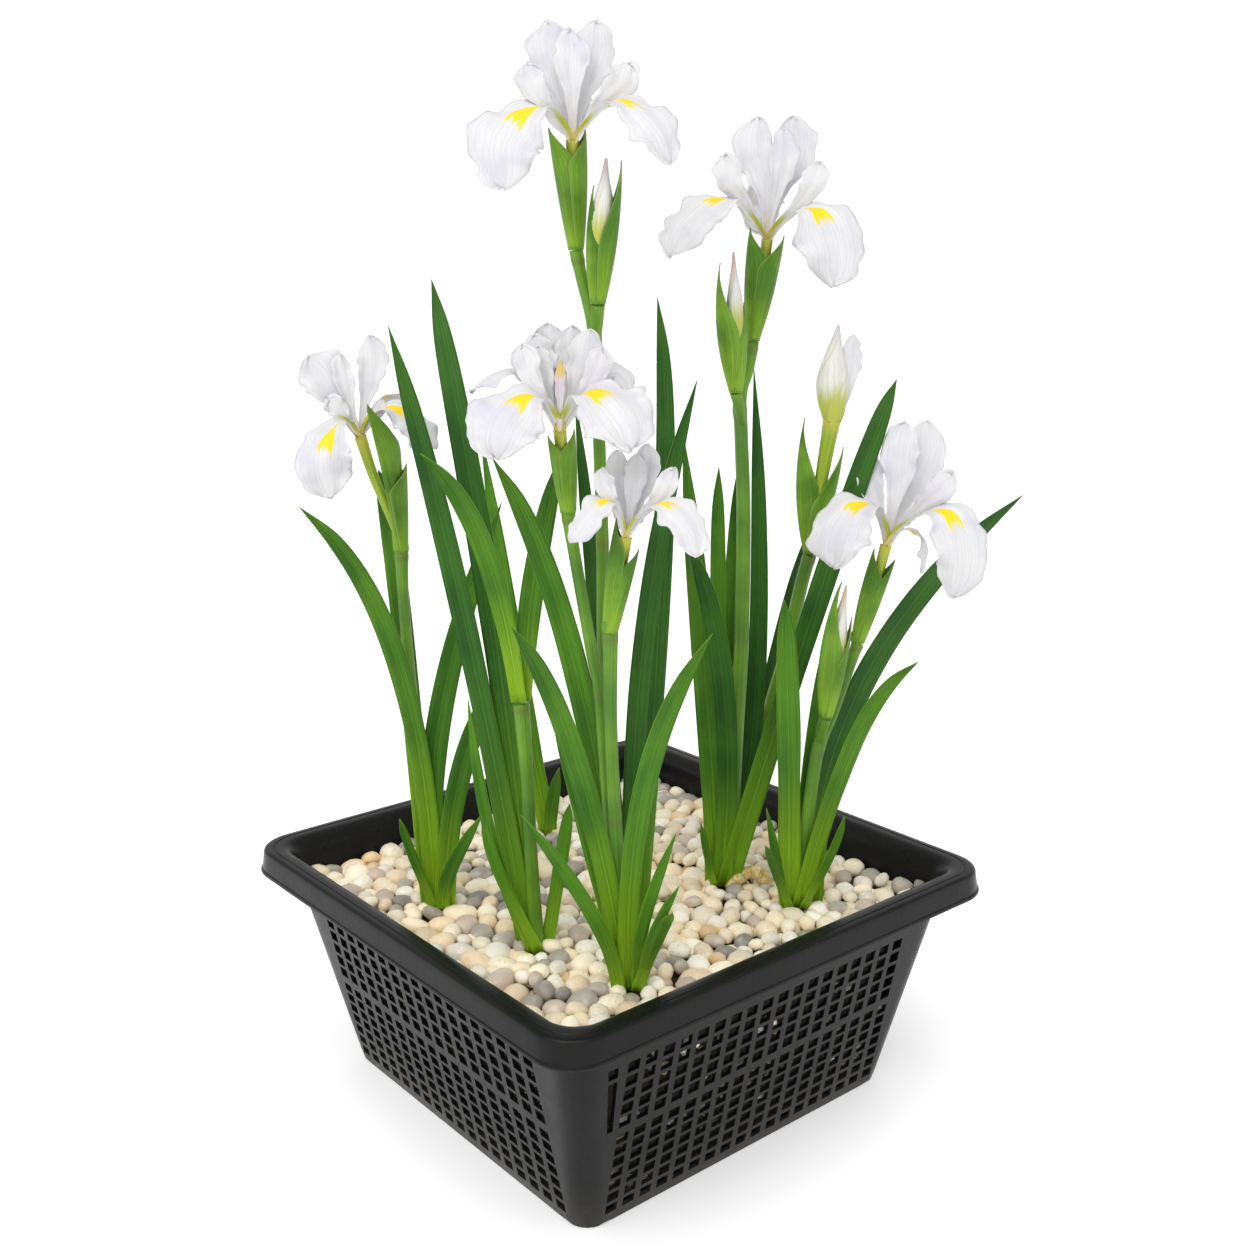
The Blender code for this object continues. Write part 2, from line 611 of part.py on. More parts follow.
def perianth_tube(bm, fan, foot, throat, first_direction):
    """The six-sided tube of a flower. Gives back the faces round its throat and the face on top."""
    made = bmesh.ops.create_cone(bm, cap_ends=True, segments=6, radius1=TUBE_FOOT_RADIUS * MM,
                                 radius2=TUBE_TOP_RADIUS * MM, depth=MM)
    side = next(face for face in bm.faces if abs(face.normal.z) < 0.9)
    middle = side.calc_center_median()
    turn = math.radians(first_direction) - math.atan2(middle.y, middle.x)
    spin = Matrix.Rotation(turn, 3, "Z")
    for vert in made["verts"]:
        end = throat - Vector((0, 0, THROAT_HEIGHT)) if vert.co.z > 0 else foot
        flat = spin @ Vector((vert.co.x, vert.co.y, 0))
        vert.co = place(fan, *end) + flat
    bm.normal_update()
    top = max(bm.faces, key=lambda face: face.calc_center_median().z)
    cap, raised = extrude_end(bm, top)
    bmesh.ops.translate(bm, verts=raised, vec=Vector((0, 0, THROAT_HEIGHT * MM)))
    bm.normal_update()
    around = [face for edge in cap.edges for face in edge.link_faces if face != cap]
    return around, cap


def petal(bm, face, centre, direction, half_way, tip, width):
    """Draws one face of the throat out into a petal that arches over or stands up."""
    angle = math.radians(direction)
    outward = Vector((math.cos(angle), math.sin(angle), 0))
    aside = Vector((-outward.y, outward.x, 0))
    middle = face.calc_center_median()
    root = middle - centre
    start = Vector((math.hypot(root.x, root.y), 0, root.z)) / MM
    half = Vector((half_way[0], 0, half_way[1]))
    end = Vector((tip[0], 0, tip[1]))
    old = [vert.co.copy() for vert in face.verts]
    signs = [(math.copysign(1, (point - middle).dot(aside)), math.copysign(1, point.z - middle.z))
             for point in old]
    for t, share in PETAL_SHARES:
        at = curve_point(start, half, end, t)
        tangent = curve_tangent(start, half, end, t)
        upper = outward * -tangent.z + Vector((0, 0, tangent.x))
        spot = centre + (outward * at.x + Vector((0, 0, at.z))) * MM
        new = [spot + aside * (side * width * share / 2 * MM) + upper * (level * PETAL_THICKNESS / 2 * MM)
               for side, level in signs]
        face = bmesh.ops.extrude_discrete_faces(bm, faces=[face])["faces"][0]
        move_face(face, old, new)
        old = new


def nearest_face(faces, centre, direction):
    angle = math.radians(direction)
    outward = Vector((math.cos(angle), math.sin(angle), 0))
    return max(faces, key=lambda face: (face.calc_center_median() - centre).dot(outward))


def flowers(parts, white):
    """Each open flower: its tube, with one petal from each face of the throat."""
    for name, (spathe, throat, petals) in FLOWERS.items():
        fan, foot = spathe_top(spathe)
        throat = Vector(SPATHES[spathe][1]) + Vector(throat)
        centre = place(fan, *throat)
        bm = bmesh.new()
        directions = [FACING + shape[0] for shape in petals]
        around, _ = perianth_tube(bm, fan, foot, throat, directions[0])
        rooted = []
        for i, direction in enumerate(directions):
            nominal = directions[0] + 60 * i
            rooted.append((nearest_face(around, centre, nominal), direction))
        for (face, direction), (_, half_way, tip, width) in zip(rooted, petals):
            petal(bm, face, centre, direction, half_way, tip, width)
        add(name, bm, white, parts)


def half_open_flower(parts, white):
    """A bud whose petals still stand wrapped together, with one of them loose at the side."""
    fan, foot = spathe_top(HALF_OPEN_SPATHE)
    throat = Vector(SPATHES[HALF_OPEN_SPATHE][1]) + Vector(HALF_OPEN_THROAT)
    centre = place(fan, *throat)
    bm = bmesh.new()
    direction, half_way, tip, width = HALF_OPEN_PETAL
    direction += FACING
    around, cap = perianth_tube(bm, fan, foot, throat, direction)
    corners = [vert.co - centre for vert in cap.verts]
    old = [vert.co.copy() for vert in cap.verts]
    face = cap
    for height, radius in HALF_OPEN_RINGS:
        new = [centre + corner.normalized() * radius * MM + Vector((0, 0, height * MM)) for corner in corners]
        face, _ = extrude_end(bm, face)
        move_face(face, old, new)
        old = new
    petal(bm, nearest_face(around, centre, direction), centre, direction, half_way, tip, width)
    add(HALF_OPEN, bm, white, parts)


def main():
    clear_scene()
    parts = collection("flag_iris_in_basket")
    cutters = collection("cutters")
    green = leaf_green()
    stem_green = stalk_green()
    white = petal_white()
    basket(parts, cutters, black_plastic())
    gravel(parts, cutters, pale_gravel())
    leaves(parts, green)
    crowns(parts, cutters, green)
    stalks(parts, cutters, stem_green)
    spathes(parts, cutters, stem_green)
    buds(parts, bud_cream())
    flowers(parts, white)
    half_open_flower(parts, white)


main()
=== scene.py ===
import math
import random

import bmesh
import bpy
import numpy as np
from mathutils import Matrix, Vector
from mathutils.noise import noise


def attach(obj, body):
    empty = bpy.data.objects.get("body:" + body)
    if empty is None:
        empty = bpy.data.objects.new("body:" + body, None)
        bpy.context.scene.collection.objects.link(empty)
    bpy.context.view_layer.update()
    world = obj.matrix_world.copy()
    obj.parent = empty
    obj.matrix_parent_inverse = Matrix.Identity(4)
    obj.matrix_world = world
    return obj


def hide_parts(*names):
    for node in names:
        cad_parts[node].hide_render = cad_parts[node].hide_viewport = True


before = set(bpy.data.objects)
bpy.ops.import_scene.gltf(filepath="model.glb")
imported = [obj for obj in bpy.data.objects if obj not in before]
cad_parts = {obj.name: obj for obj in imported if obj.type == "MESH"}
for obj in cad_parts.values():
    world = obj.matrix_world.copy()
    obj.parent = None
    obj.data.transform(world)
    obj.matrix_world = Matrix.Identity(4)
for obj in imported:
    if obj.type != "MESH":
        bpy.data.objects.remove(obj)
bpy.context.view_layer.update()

MM = 0.001

# Planting basket. A square pond basket moulded in one piece from charcoal polypropylene: walls that widen
# upward with two bands of lattice, and a rim turned outward and down into a skirt. The sheet is drawn as the
# inner face of the walls, over the rim and down the skirt, then given its wall thickness.
WALL = 2.2
BASE_HALF, BASE_RADIUS = 103.0, 12.0
WALL_TOP_HALF, WALL_TOP_RADIUS, WALL_TOP = 128.4, 15.0, 122.5
LATTICE_COLUMNS, LATTICE_PITCH, SLOT_WIDTH = 18, 10.4, 6.8
UPPER_ROWS, UPPER_SLOT_HEIGHT = (60.2, 67.6, 75.2, 83.0, 90.9), 5.6
LOWER_ROWS, LOWER_SLOT_HEIGHT = (9.2, 16.3, 23.4, 30.3, 37.0, 43.7, 50.4), 4.9
PLAIN_ROWS = (100, 109, 117)     # heights of the plain wall over the lattice
PART_SLOT = (0.35, 0.7)          # the narrow slot by the front corner, as shares of the plain wall there
PART_SLOT_FROM, PART_SLOT_TO, PART_SLOT_BAR = 54, 91, (84, 87)   # its heights, and those of a bar across it
MARGIN_COLUMNS = len(PART_SLOT) + 1      # columns of the sheet between the lattice and each corner
CORNER_STEPS = 7
FLOOR_PROFILE = [  # half width, corner radius, height over the inside of the floor
    (30, 6, 0), (31, 6, 0.9), (62, 8, 0.9), (63, 8, 0), (98, 9, 0), (101.3, 9.8, 0)]
RIM_PROFILE = [  # half width, corner radius, height
    (125.5, 12.8, 119.6), (126.6, 13.6, 121.4), (128.0, 14.4, 123.2), (129.4, 15.4, 124.4),
    (131.0, 16.2, 124.95), (133.2, 17.2, 125.0), (135.0, 17.8, 125.0), (135.3, 18.0, 124.6),
    (135.8, 18.3, 124.6), (136.1, 18.4, 125.0), (138.0, 19.2, 125.0), (139.1, 19.7, 124.8),
    (139.7, 19.95, 124.3), (139.95, 20.0, 123.6), (140.2, 20.1, 121.0), (140.7, 20.3, 117.0),
    (141.0, 20.4, 114.2), (141.5, 20.6, 113.9), (141.8, 20.7, 113.1), (141.5, 20.6, 112.0)]


def wall_half(z):
    return BASE_HALF + (WALL_TOP_HALF - BASE_HALF) * z / WALL_TOP


def wall_radius(z):
    return BASE_RADIUS + (WALL_TOP_RADIUS - BASE_RADIUS) * z / WALL_TOP


def sheet(bm, across, along, place):
    """Adds a grid of faces. Each corner goes to place(u, v), in millimetres, and keeps (u, v) as its UV."""
    made = bmesh.ops.create_grid(bm, x_segments=across, y_segments=along, size=1, calc_uvs=True)["verts"]
    for vert in made:
        u, v = (vert.co.x + 1) / 2, (vert.co.y + 1) / 2
        vert.co = Vector(place(u, v)) * MM
    return made


def new_mesh():
    bm = bmesh.new()
    bm.loops.layers.uv.new("UVMap")
    return bm


def finish(name, bm, materials, slot, *nodes, outward=False):
    """A smooth-shaded piece from a bmesh, riding on the plant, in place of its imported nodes."""
    if outward:
        bmesh.ops.recalc_face_normals(bm, faces=bm.faces)
    mesh = bpy.data.meshes.new(name)
    bm.to_mesh(mesh)
    bm.free()
    mesh.polygons.foreach_set("use_smooth", [True] * len(mesh.polygons))
    piece = bpy.data.objects.new(name, mesh)
    bpy.context.scene.collection.objects.link(piece)
    for stuff in materials:
        mesh.materials.append(stuff)
    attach(piece, "root")
    if nodes:
        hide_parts(*nodes)
    return piece


def thicken(piece, thickness, offset=0):
    shell = piece.modifiers.new("thickness", "SOLIDIFY")
    shell.thickness = thickness * MM
    shell.offset = offset
    return shell


def apply_modifiers(piece):
    solid = bpy.data.meshes.new_from_object(piece.evaluated_get(bpy.context.evaluated_depsgraph_get()))
    piece.modifiers.clear()
    piece.data = solid


def new_material(name):
    made = bpy.data.materials.new(name)
    made.use_nodes = True
    return made.node_tree, made.node_tree.nodes["Principled BSDF"], made


def add_node(tree, kind, sockets=(), **settings):
    """A node with its settings. Each (socket, value) pair is set, or linked where the value is a socket."""
    made = tree.nodes.new(kind)
    for key, value in settings.items():
        setattr(made, key, value)
    for socket, value in sockets:
        if isinstance(value, bpy.types.NodeSocket):
            tree.links.new(value, made.inputs[socket])
        else:
            made.inputs[socket].default_value = value
    return made


def math_node(tree, operation, a, b=0.0):
    return add_node(tree, "ShaderNodeMath", [(0, a), (1, b)], operation=operation).outputs[0]


def mix_colour(tree, factor, a, b, blend="MIX"):
    """Mixes two colours, each a socket or red, green and blue."""
    a, b = ((*colour, 1) if isinstance(colour, tuple) else colour for colour in (a, b))
    mix = add_node(tree, "ShaderNodeMix", [(0, factor), (6, a), (7, b)], data_type="RGBA", blend_type=blend)
    return mix.outputs[2]


def remap(tree, value, low, high, to_low=0.0, to_high=1.0):
    sockets = [(0, value), (1, low), (2, high), (3, to_low), (4, to_high)]
    return add_node(tree, "ShaderNodeMapRange", sockets, interpolation_type="SMOOTHSTEP").outputs[0]


def noise_node(tree, vector, scale, detail=3.0, roughness=0.5, distortion=0.0):
    sockets = [("Vector", vector), ("Scale", scale), ("Detail", detail), ("Roughness", roughness),
               ("Distortion", distortion)]
    return add_node(tree, "ShaderNodeTexNoise", sockets).outputs["Fac"]


def object_place(tree):
    return add_node(tree, "ShaderNodeTexCoord").outputs["Object"]


def own_uv(tree):
    """The UV map of a piece, then its two coordinates on their own."""
    uv = add_node(tree, "ShaderNodeUVMap", uv_map="UVMap").outputs[0]
    return uv, *add_node(tree, "ShaderNodeSeparateXYZ", [(0, uv)]).outputs[:2]


def plus_share(tree, value, other, share):
    return math_node(tree, "ADD", value, math_node(tree, "MULTIPLY", other, share))


def shaded(tree, colour, value, darkest, lightest, low=0.3, high=0.7):
    """The colour made darker or lighter as the value goes from low to high."""
    level = remap(tree, value, low, high, darkest, lightest)
    grey = add_node(tree, "ShaderNodeCombineColor", [(i, level) for i in range(3)]).outputs[0]
    return mix_colour(tree, 1.0, colour, grey, "MULTIPLY")


def surface(tree, shader, colour, roughness, height, distance, strength=1.0):
    """Gives the shader its colour and its roughness, and a bump from that height."""
    relief = add_node(tree, "ShaderNodeBump", [("Height", height), ("Distance", distance),
                                               ("Strength", strength)])
    for socket, value in (("Base Color", colour), ("Roughness", roughness), ("Normal", relief.outputs[0])):
        tree.links.new(value, shader.inputs[socket])


def charcoal_plastic():
    """Satin moulded plastic: a fine spark-eroded grain, faint flow lines down the walls, a little dust."""
    tree, shader, made = new_material("charcoal_plastic")
    place, (uv, _, _) = object_place(tree), own_uv(tree)
    patch = noise_node(tree, place, 38, 4)
    tone = mix_colour(tree, patch, (0.0045, 0.0045, 0.0043), (0.010, 0.010, 0.0096))
    height = add_node(tree, "ShaderNodeSeparateXYZ", [(0, place)]).outputs[2]
    dust = math_node(tree, "MULTIPLY", remap(tree, height, 0.03, 0.0), noise_node(tree, place, 160, 5))
    tone = mix_colour(tree, math_node(tree, "MULTIPLY", dust, 0.35), tone, (0.1, 0.09, 0.075))
    lines = add_node(tree, "ShaderNodeMapping", [("Vector", uv), ("Scale", (420, 3, 1))]).outputs[0]
    relief = plus_share(tree, noise_node(tree, lines, 1, 2), noise_node(tree, place, 2600, 2), 0.35)
    roughness = remap(tree, noise_node(tree, place, 90, 5, 0.6), 0.3, 0.7, 0.25, 0.36)
    shader.inputs["Specular IOR Level"].default_value = 0.17
    surface(tree, shader, tone, roughness, relief, 0.00012, 0.5)
    return made


def basket_rows():
    """The rows of the sheet from the floor up and over the rim: half width, corner radius, height, and
    whether slots open above the row."""
    rows = [(half, radius, WALL + rise, False) for half, radius, rise in FLOOR_PROFILE]
    wall = []
    for heights, slot_height in ((LOWER_ROWS, LOWER_SLOT_HEIGHT), (UPPER_ROWS, UPPER_SLOT_HEIGHT)):
        for z in heights:
            wall += [(z - slot_height / 2, True), (z + slot_height / 2, False)]
    wall += [(z, False) for z in PLAIN_ROWS]
    rows += [(wall_half(z) - WALL, wall_radius(z) - WALL, z, opens) for z, opens in wall]
    return rows + [(half, radius, z, False) for half, radius, z in RIM_PROFILE]


BASKET_ROWS = basket_rows()
SLOT_EDGES = [(column - (LATTICE_COLUMNS - 1) / 2) * LATTICE_PITCH + side * SLOT_WIDTH / 2
              for column in range(LATTICE_COLUMNS) for side in (-1, 1)]
SIDE_STEPS = len(SLOT_EDGES) - 1 + 2 * MARGIN_COLUMNS
WALL_STEPS = SIDE_STEPS + CORNER_STEPS


def basket_point(column, row):
    """The point of the sheet at a column of the unrolled walls and a row of the profile."""
    half, radius, z, _ = BASKET_ROWS[row]
    wall, step = divmod(column, WALL_STEPS)
    flat = half - radius
    last = SLOT_EDGES[-1]
    margins = [flat] + [last + (flat - last) * share for share in reversed(PART_SLOT)]
    stops = [-x for x in margins] + SLOT_EDGES + margins[::-1]
    if step < SIDE_STEPS:
        point = Vector((stops[step], -half, z))
    else:
        angle = math.radians(90 * (step - SIDE_STEPS) / CORNER_STEPS)
        point = Vector((flat + radius * math.sin(angle), -flat - radius * math.cos(angle), z))
    return Matrix.Rotation(math.radians(90 * wall), 3, "Z") @ point


def basket():
    columns, rows = 4 * WALL_STEPS, len(BASKET_ROWS) - 1
    bm = new_mesh()
    sheet(bm, columns, rows, lambda u, v: (u * columns, v * rows, 0))
    slots = []
    for face in bm.faces:
        middle = face.calc_center_median() / MM
        column, row = int(middle.x), int(middle.y)
        wall, step = divmod(column, WALL_STEPS)
        slot = step - MARGIN_COLUMNS
        in_lattice = 0 <= slot < len(SLOT_EDGES) - 1 and slot % 2 == 0
        z, opens = BASKET_ROWS[row][2:]
        beside = wall == 0 and step == 1 and PART_SLOT_FROM < z < PART_SLOT_TO
        bar = PART_SLOT_BAR[0] < z < PART_SLOT_BAR[1]
        if in_lattice and opens or beside and not bar:
            slots.append(face)
    bmesh.ops.delete(bm, geom=slots, context="FACES")
    for vert in bm.verts:
        vert.co = basket_point(round(vert.co.x / MM), round(vert.co.y / MM)) * MM
    bmesh.ops.remove_doubles(bm, verts=bm.verts, dist=0.02 * MM)
    middle = [edge for edge in bm.edges if edge.is_boundary and all(v.co.z < 4 * MM for v in edge.verts)]
    bmesh.ops.contextual_create(bm, geom=middle)
    bmesh.ops.recalc_face_normals(bm, faces=bm.faces)
    top = max(bm.faces, key=lambda face: face.calc_center_median().z)
    if top.normal.z < 0:
        bmesh.ops.reverse_faces(bm, faces=bm.faces)
    piece = finish("planting_basket", bm, [charcoal_plastic()], "basket_plastic", "basket")
    thicken(piece, WALL, -1)
    apply_modifiers(piece)
    piece.data.set_sharp_from_angle(angle=math.radians(38))


basket()

# Gravel. Rounded river pebbles of 8 to 16 mm, washed cream, tan and grey with a few amber ones, lying close
# together over a near-black bed of painted shade. A few of them press against the slots of the walls.
GRAVEL_TOP = 110.0
BED_TOP = 103.0
PEBBLE_SIZES = [(3.8, 4.8, 0.24), (4.8, 5.9, 0.42), (5.9, 7.0, 0.24), (7.0, 8.8, 0.10)]    # radii, share
BED_INSET = 6.0                  # gap between the bed and the walls
GRAVEL_CORNER = 13               # corner radius of the layers of pebbles
PUSHES, PUSH = 160, 0.55         # how often and how far pebbles are pushed off each other
CLEARANCE = 1.05                 # pebbles keep this many radii from the wall
TOP_COVER, UNDER_COVER = 0.93, 0.62  # share of the bed that the pebbles of the two layers cover
UNDER_DEPTH = 3.6                # how far the tops of the under layer lie below the top of the gravel
WALL_PEBBLES = 62                # pebbles seen through the slots of each wall
FOOT_RADIUS = 3.2                # of the gaps that the leaves leave in the gravel
FOOT_CLOSING = 0.35              # share of their spacing that the layers of a fan keep at the gravel
STONES = [  # cream, tan, ivory, buff, taupe, slate, brown and amber, each from its share of the pebbles on
    (0.0, (1.0, 0.90, 0.69)), (0.24, (0.99, 0.85, 0.60)), (0.44, (1.0, 0.95, 0.81)),
    (0.62, (0.92, 0.74, 0.50)), (0.72, (0.42, 0.385, 0.325)), (0.81, (0.29, 0.268, 0.23)),
    (0.88, (0.60, 0.50, 0.40)), (0.965, (0.86, 0.60, 0.30))]
draw = random.Random(7)

# The feet of the fans of leaves on the gravel, with the direction of the flat of each fan in degrees.
FANS = {
    1: ((-84, 39), -30),
    2: ((-74, -32), -50),
    3: ((-60, -87), -34),
    4: ((48, -37), -46),
    5: ((57, -80), -26),
    6: ((16, 80), -40),
}
# The front and the back layer of each fan.
FAN_LAYERS = {1: (-13, 5), 2: (-10, 9), 3: (-25, 24), 4: (-13, 21), 5: (-12, 10), 6: (-4, 3)}


def fan_point(fan, side, layer, height):
    """A point beside the foot of a fan: side along its flat, layer through it, height above the gravel."""
    (x, y), turn = FANS[fan]
    angle = math.radians(turn)
    along_fan = Vector((math.cos(angle), math.sin(angle), 0))
    through = Vector((-math.sin(angle), math.cos(angle), 0))
    return Vector((x, y, GRAVEL_TOP + height)) + side * along_fan + layer * through


def pebble_radius():
    pick = draw.random()
    for low, high, share in PEBBLE_SIZES:
        if pick < share:
            return draw.uniform(low, high)
        pick -= share
    return 5.0


def packed_layer(half, cover, feet):
    """Pebbles of one layer pushed apart until they lie side by side: their x, y and radius."""
    area, radii = 0.0, []
    while area < cover * 4 * half * half:
        radii.append(pebble_radius())
        area += math.pi * radii[-1] ** 2
    radii = np.array(radii)
    spots = np.array([(draw.uniform(-half, half), draw.uniform(-half, half)) for _ in radii])
    feet_at, feet_radius = np.array(feet), np.full(len(feet), FOOT_RADIUS)
    for _ in range(PUSHES):
        push = np.zeros_like(spots)
        for others, sizes, share in ((spots, radii, 0.5), (feet_at, feet_radius, 1.0)):
            gap = spots[:, None] - others[None]
            far = np.hypot(gap[..., 0], gap[..., 1]) + 1e-9
            over = np.clip(radii[:, None] + sizes[None] - far, 0, None) * (far > 1e-6)
            push += (gap / far[..., None] * over[..., None]).sum(1) * share
        spots = spots + PUSH * push
        reach = half - radii * CLEARANCE
        spots = np.clip(spots, -reach[:, None], reach[:, None])
        bend = half - GRAVEL_CORNER
        beyond = np.clip(np.abs(spots) - bend, 0, None)
        in_corner = (beyond > 0).all(1)
        out = np.hypot(beyond[:, 0], beyond[:, 1])
        allowed = GRAVEL_CORNER - radii * CLEARANCE
        shrink = np.clip(allowed, 0.5, None) / np.maximum(out, 1e-6)
        shrink = np.where(in_corner & (out > allowed), shrink, 1)
        turned = np.sign(spots) * (bend + beyond * shrink[:, None])
        spots = np.where(in_corner[:, None], turned, spots)
    return [(x, y, r) for (x, y), r in zip(spots, radii)]


def pebble_shape():
    """The blank of every pebble: a cube of 54 faces blown up to a ball."""
    bm = bmesh.new()
    bmesh.ops.create_cube(bm, size=2)
    bmesh.ops.subdivide_edges(bm, edges=bm.edges, cuts=2, use_grid_fill=True)
    for vert in bm.verts:
        vert.co = vert.co.normalized() * (1 - 0.03 * abs(vert.co.x * vert.co.y))
    mesh = bpy.data.meshes.new("pebble_blank")
    bm.to_mesh(mesh)
    bm.free()
    return mesh


def add_pebble(bm, blank, x, y, top, radius, flat=(0.66, 0.92)):
    """One pebble, its top at that height, with its own stretch, turn, dents and pick of stone."""
    seen = len(bm.verts)
    bm.from_mesh(blank)
    bm.verts.ensure_lookup_table()
    stretch = draw.uniform(1.0, 1.28)
    breadth = radius * draw.uniform(0.9, 1.0) / stretch ** 0.35
    size = Vector((radius * stretch, breadth, radius * draw.uniform(*flat)))
    lean = Matrix.Rotation(draw.gauss(0, 0.22), 3, "X") @ Matrix.Rotation(draw.gauss(0, 0.22), 3, "Y")
    turn = Matrix.Rotation(draw.uniform(0, 2 * math.pi), 3, "Z") @ lean
    seed = Vector((draw.uniform(0, 90), draw.uniform(0, 90), draw.uniform(0, 90)))
    stone = (draw.random(), draw.random(), draw.random(), 1)
    layer = bm.verts.layers.float_color["stone"]
    middle = Vector((x, y, top - size.z))
    for vert in bm.verts[seen:]:
        dented = vert.co * (1 + 0.16 * noise(vert.co * 0.9 + seed))
        vert.co = (middle + turn @ Vector(a * b for a, b in zip(dented, size))) * MM
        vert[layer] = stone


def pebble_stone():
    """Washed river stone: creams, tans, greys and ambers by the pebble, mottled, veined, softly polished."""
    tree, shader, made = new_material("river_pebbles")
    own = add_node(tree, "ShaderNodeAttribute", attribute_name="stone", attribute_type="GEOMETRY")
    pick, tone, vein = add_node(tree, "ShaderNodeSeparateColor", [(0, own.outputs["Color"])]).outputs[:3]
    ramp = add_node(tree, "ShaderNodeValToRGB", [(0, pick)])
    ramp.color_ramp.interpolation = "CONSTANT"
    while len(ramp.color_ramp.elements) < len(STONES):
        ramp.color_ramp.elements.new(0.5)
    for element, (spot, colour) in zip(ramp.color_ramp.elements, STONES):
        element.position = spot
        element.color = (*colour, 1)
    sockets = [(0, object_place(tree)), (1, own.outputs["Vector"])]
    shift = add_node(tree, "ShaderNodeVectorMath", sockets, operation="ADD").outputs[0]
    mottle = noise_node(tree, shift, 210, 5, 0.62)
    colour = mix_colour(tree, remap(tree, mottle, 0.48, 0.75, 0, 0.42), ramp.outputs[0], (0.66, 0.47, 0.26))
    chalk = remap(tree, noise_node(tree, shift, 120, 3), 0.5, 0.75, 0, 0.5)
    colour = mix_colour(tree, chalk, colour, (0.9, 0.84, 0.72))
    bands = math_node(tree, "SUBTRACT", noise_node(tree, shift, 260, 4, 0.5, 2.2), 0.5)
    lines = remap(tree, math_node(tree, "ABSOLUTE", bands), 0.0, 0.03, 1, 0)
    veined = math_node(tree, "MULTIPLY", lines, remap(tree, vein, 0.6, 0.75, 0, 0.42))
    colour = mix_colour(tree, veined, colour, (0.38, 0.31, 0.25))
    colour = shaded(tree, colour, tone, 0.84, 1.08, 0, 1)
    roughness = remap(tree, mottle, 0.2, 0.8, 0.28, 0.52)
    surface(tree, shader, colour, roughness, noise_node(tree, shift, 900, 4), 0.0002, 0.6)
    return made


def painted_shade_bed():
    """Near-black grit: painted shade for the gaps between the pebbles and behind the slots."""
    tree, shader, made = new_material("painted_shade_bed")
    grit = noise_node(tree, object_place(tree), 320, 6, 0.7)
    # Near-black colour: painted shade for the gaps between the pebbles and behind the slots.
    colour = mix_colour(tree, grit, (0.008, 0.006, 0.004), (0.05, 0.035, 0.02))
    surface(tree, shader, colour, remap(tree, grit, 0.3, 0.7, 0.6, 0.95), grit, 0.0015)
    return made


def gravel():
    bm = bmesh.new()
    bm.verts.layers.float_color.new("stone")
    blank = pebble_shape()
    feet = []
    for fan, (front, back) in FAN_LAYERS.items():
        layer = front * FOOT_CLOSING
        while layer <= back * FOOT_CLOSING:
            feet.append(fan_point(fan, 0, layer, 0)[:2])
            layer += 3
    half = wall_half(GRAVEL_TOP) - WALL - 0.4
    for x, y, radius in packed_layer(half, TOP_COVER, feet):
        top = GRAVEL_TOP + 0.6 + min(max(draw.gauss(0, 1.1), -2.4), 2.4)
        add_pebble(bm, blank, x, y, top, radius)
    for x, y, radius in packed_layer(half - 1, UNDER_COVER, feet):
        add_pebble(bm, blank, x, y, GRAVEL_TOP - UNDER_DEPTH + draw.uniform(-1.4, 1.0), radius)
    for wall in range(4):
        turn = Matrix.Rotation(math.radians(90 * wall), 3, "Z")
        for _ in range(WALL_PEBBLES):
            z = draw.uniform(8, 98)
            radius = draw.uniform(2.6, 3.4)
            reach = wall_half(z) - WALL - radius - 0.6
            spot = turn @ Vector((draw.uniform(-92, 92), -reach, 0))
            add_pebble(bm, blank, spot.x, spot.y, z + radius, radius, (0.9, 1.0))
    finish("gravel_pebbles", bm, [pebble_stone()], "gravel_stone", "gravel")
    bpy.data.meshes.remove(blank)


def gravel_bed():
    bm = bmesh.new()
    bmesh.ops.create_cube(bm, size=1)
    for vert in bm.verts:
        z = BED_TOP if vert.co.z > 0 else WALL + 0.6
        reach = wall_half(z) - WALL - BED_INSET
        vert.co = Vector((math.copysign(reach, vert.co.x), math.copysign(reach, vert.co.y), z)) * MM
    upright = [edge for edge in bm.edges if abs((edge.verts[0].co - edge.verts[1].co).z) > 50 * MM]
    bmesh.ops.bevel(bm, geom=upright, offset=10 * MM, segments=4, profile=0.5, affect="EDGES", material=-1)
    bed = finish("gravel_bed", bm, [painted_shade_bed()], "gravel_stone", "gravel")
    bed.data.set_sharp_from_angle(angle=math.radians(40))


gravel()
gravel_bed()

# Long leaves. Sword-shaped iris leaves, ribbed lengthwise, creased down the middle and folded into a sheath
# at the foot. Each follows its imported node, drawn as a creased sheet and thickened a little.
LEAF_NODES = sorted(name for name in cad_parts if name.startswith("leaf_"))
LEAF_THICKNESS = 0.55
ROOT_DEPTH = 3.0                 # how far the leaves go on under the top of the gravel
# Leaves further back, which get a darker copy of the leaf green: painted shade.
SHADE_DARKENED_LEAVES = [f"leaf_{key}" for key in ("2a", "2b", "3d", "3e", "3j", "4b", "4d", "4g", "4h", "5c")]
STEM_LEAVES = ("leaf_2l", "leaf_2r")
CREASE, SHEATH = 0.16, 0.2       # how deep a leaf is folded, and how much deeper at its foot
FOOT_SPREAD = 0.42               # how much wider a long leaf is at its foot
EDGE_WAVE = 0.03


def along(values, t):
    """The value at t, from 0 to 1, on a smooth curve through evenly spaced values."""
    spot = min(max(t, 0.0), 1.0) * (len(values) - 1)
    i = min(int(spot), len(values) - 2)
    f = spot - i
    a, b = values[i], values[i + 1]
    before = values[i - 1] if i > 0 else a * 2 - b
    after = values[i + 2] if i + 2 < len(values) else b * 2 - a
    return (a * 2 + (b - before) * f + (before * 2 - a * 5 + b * 4 - after) * f ** 2
            + (a * 3 - before - b * 3 + after) * f ** 3) * 0.5


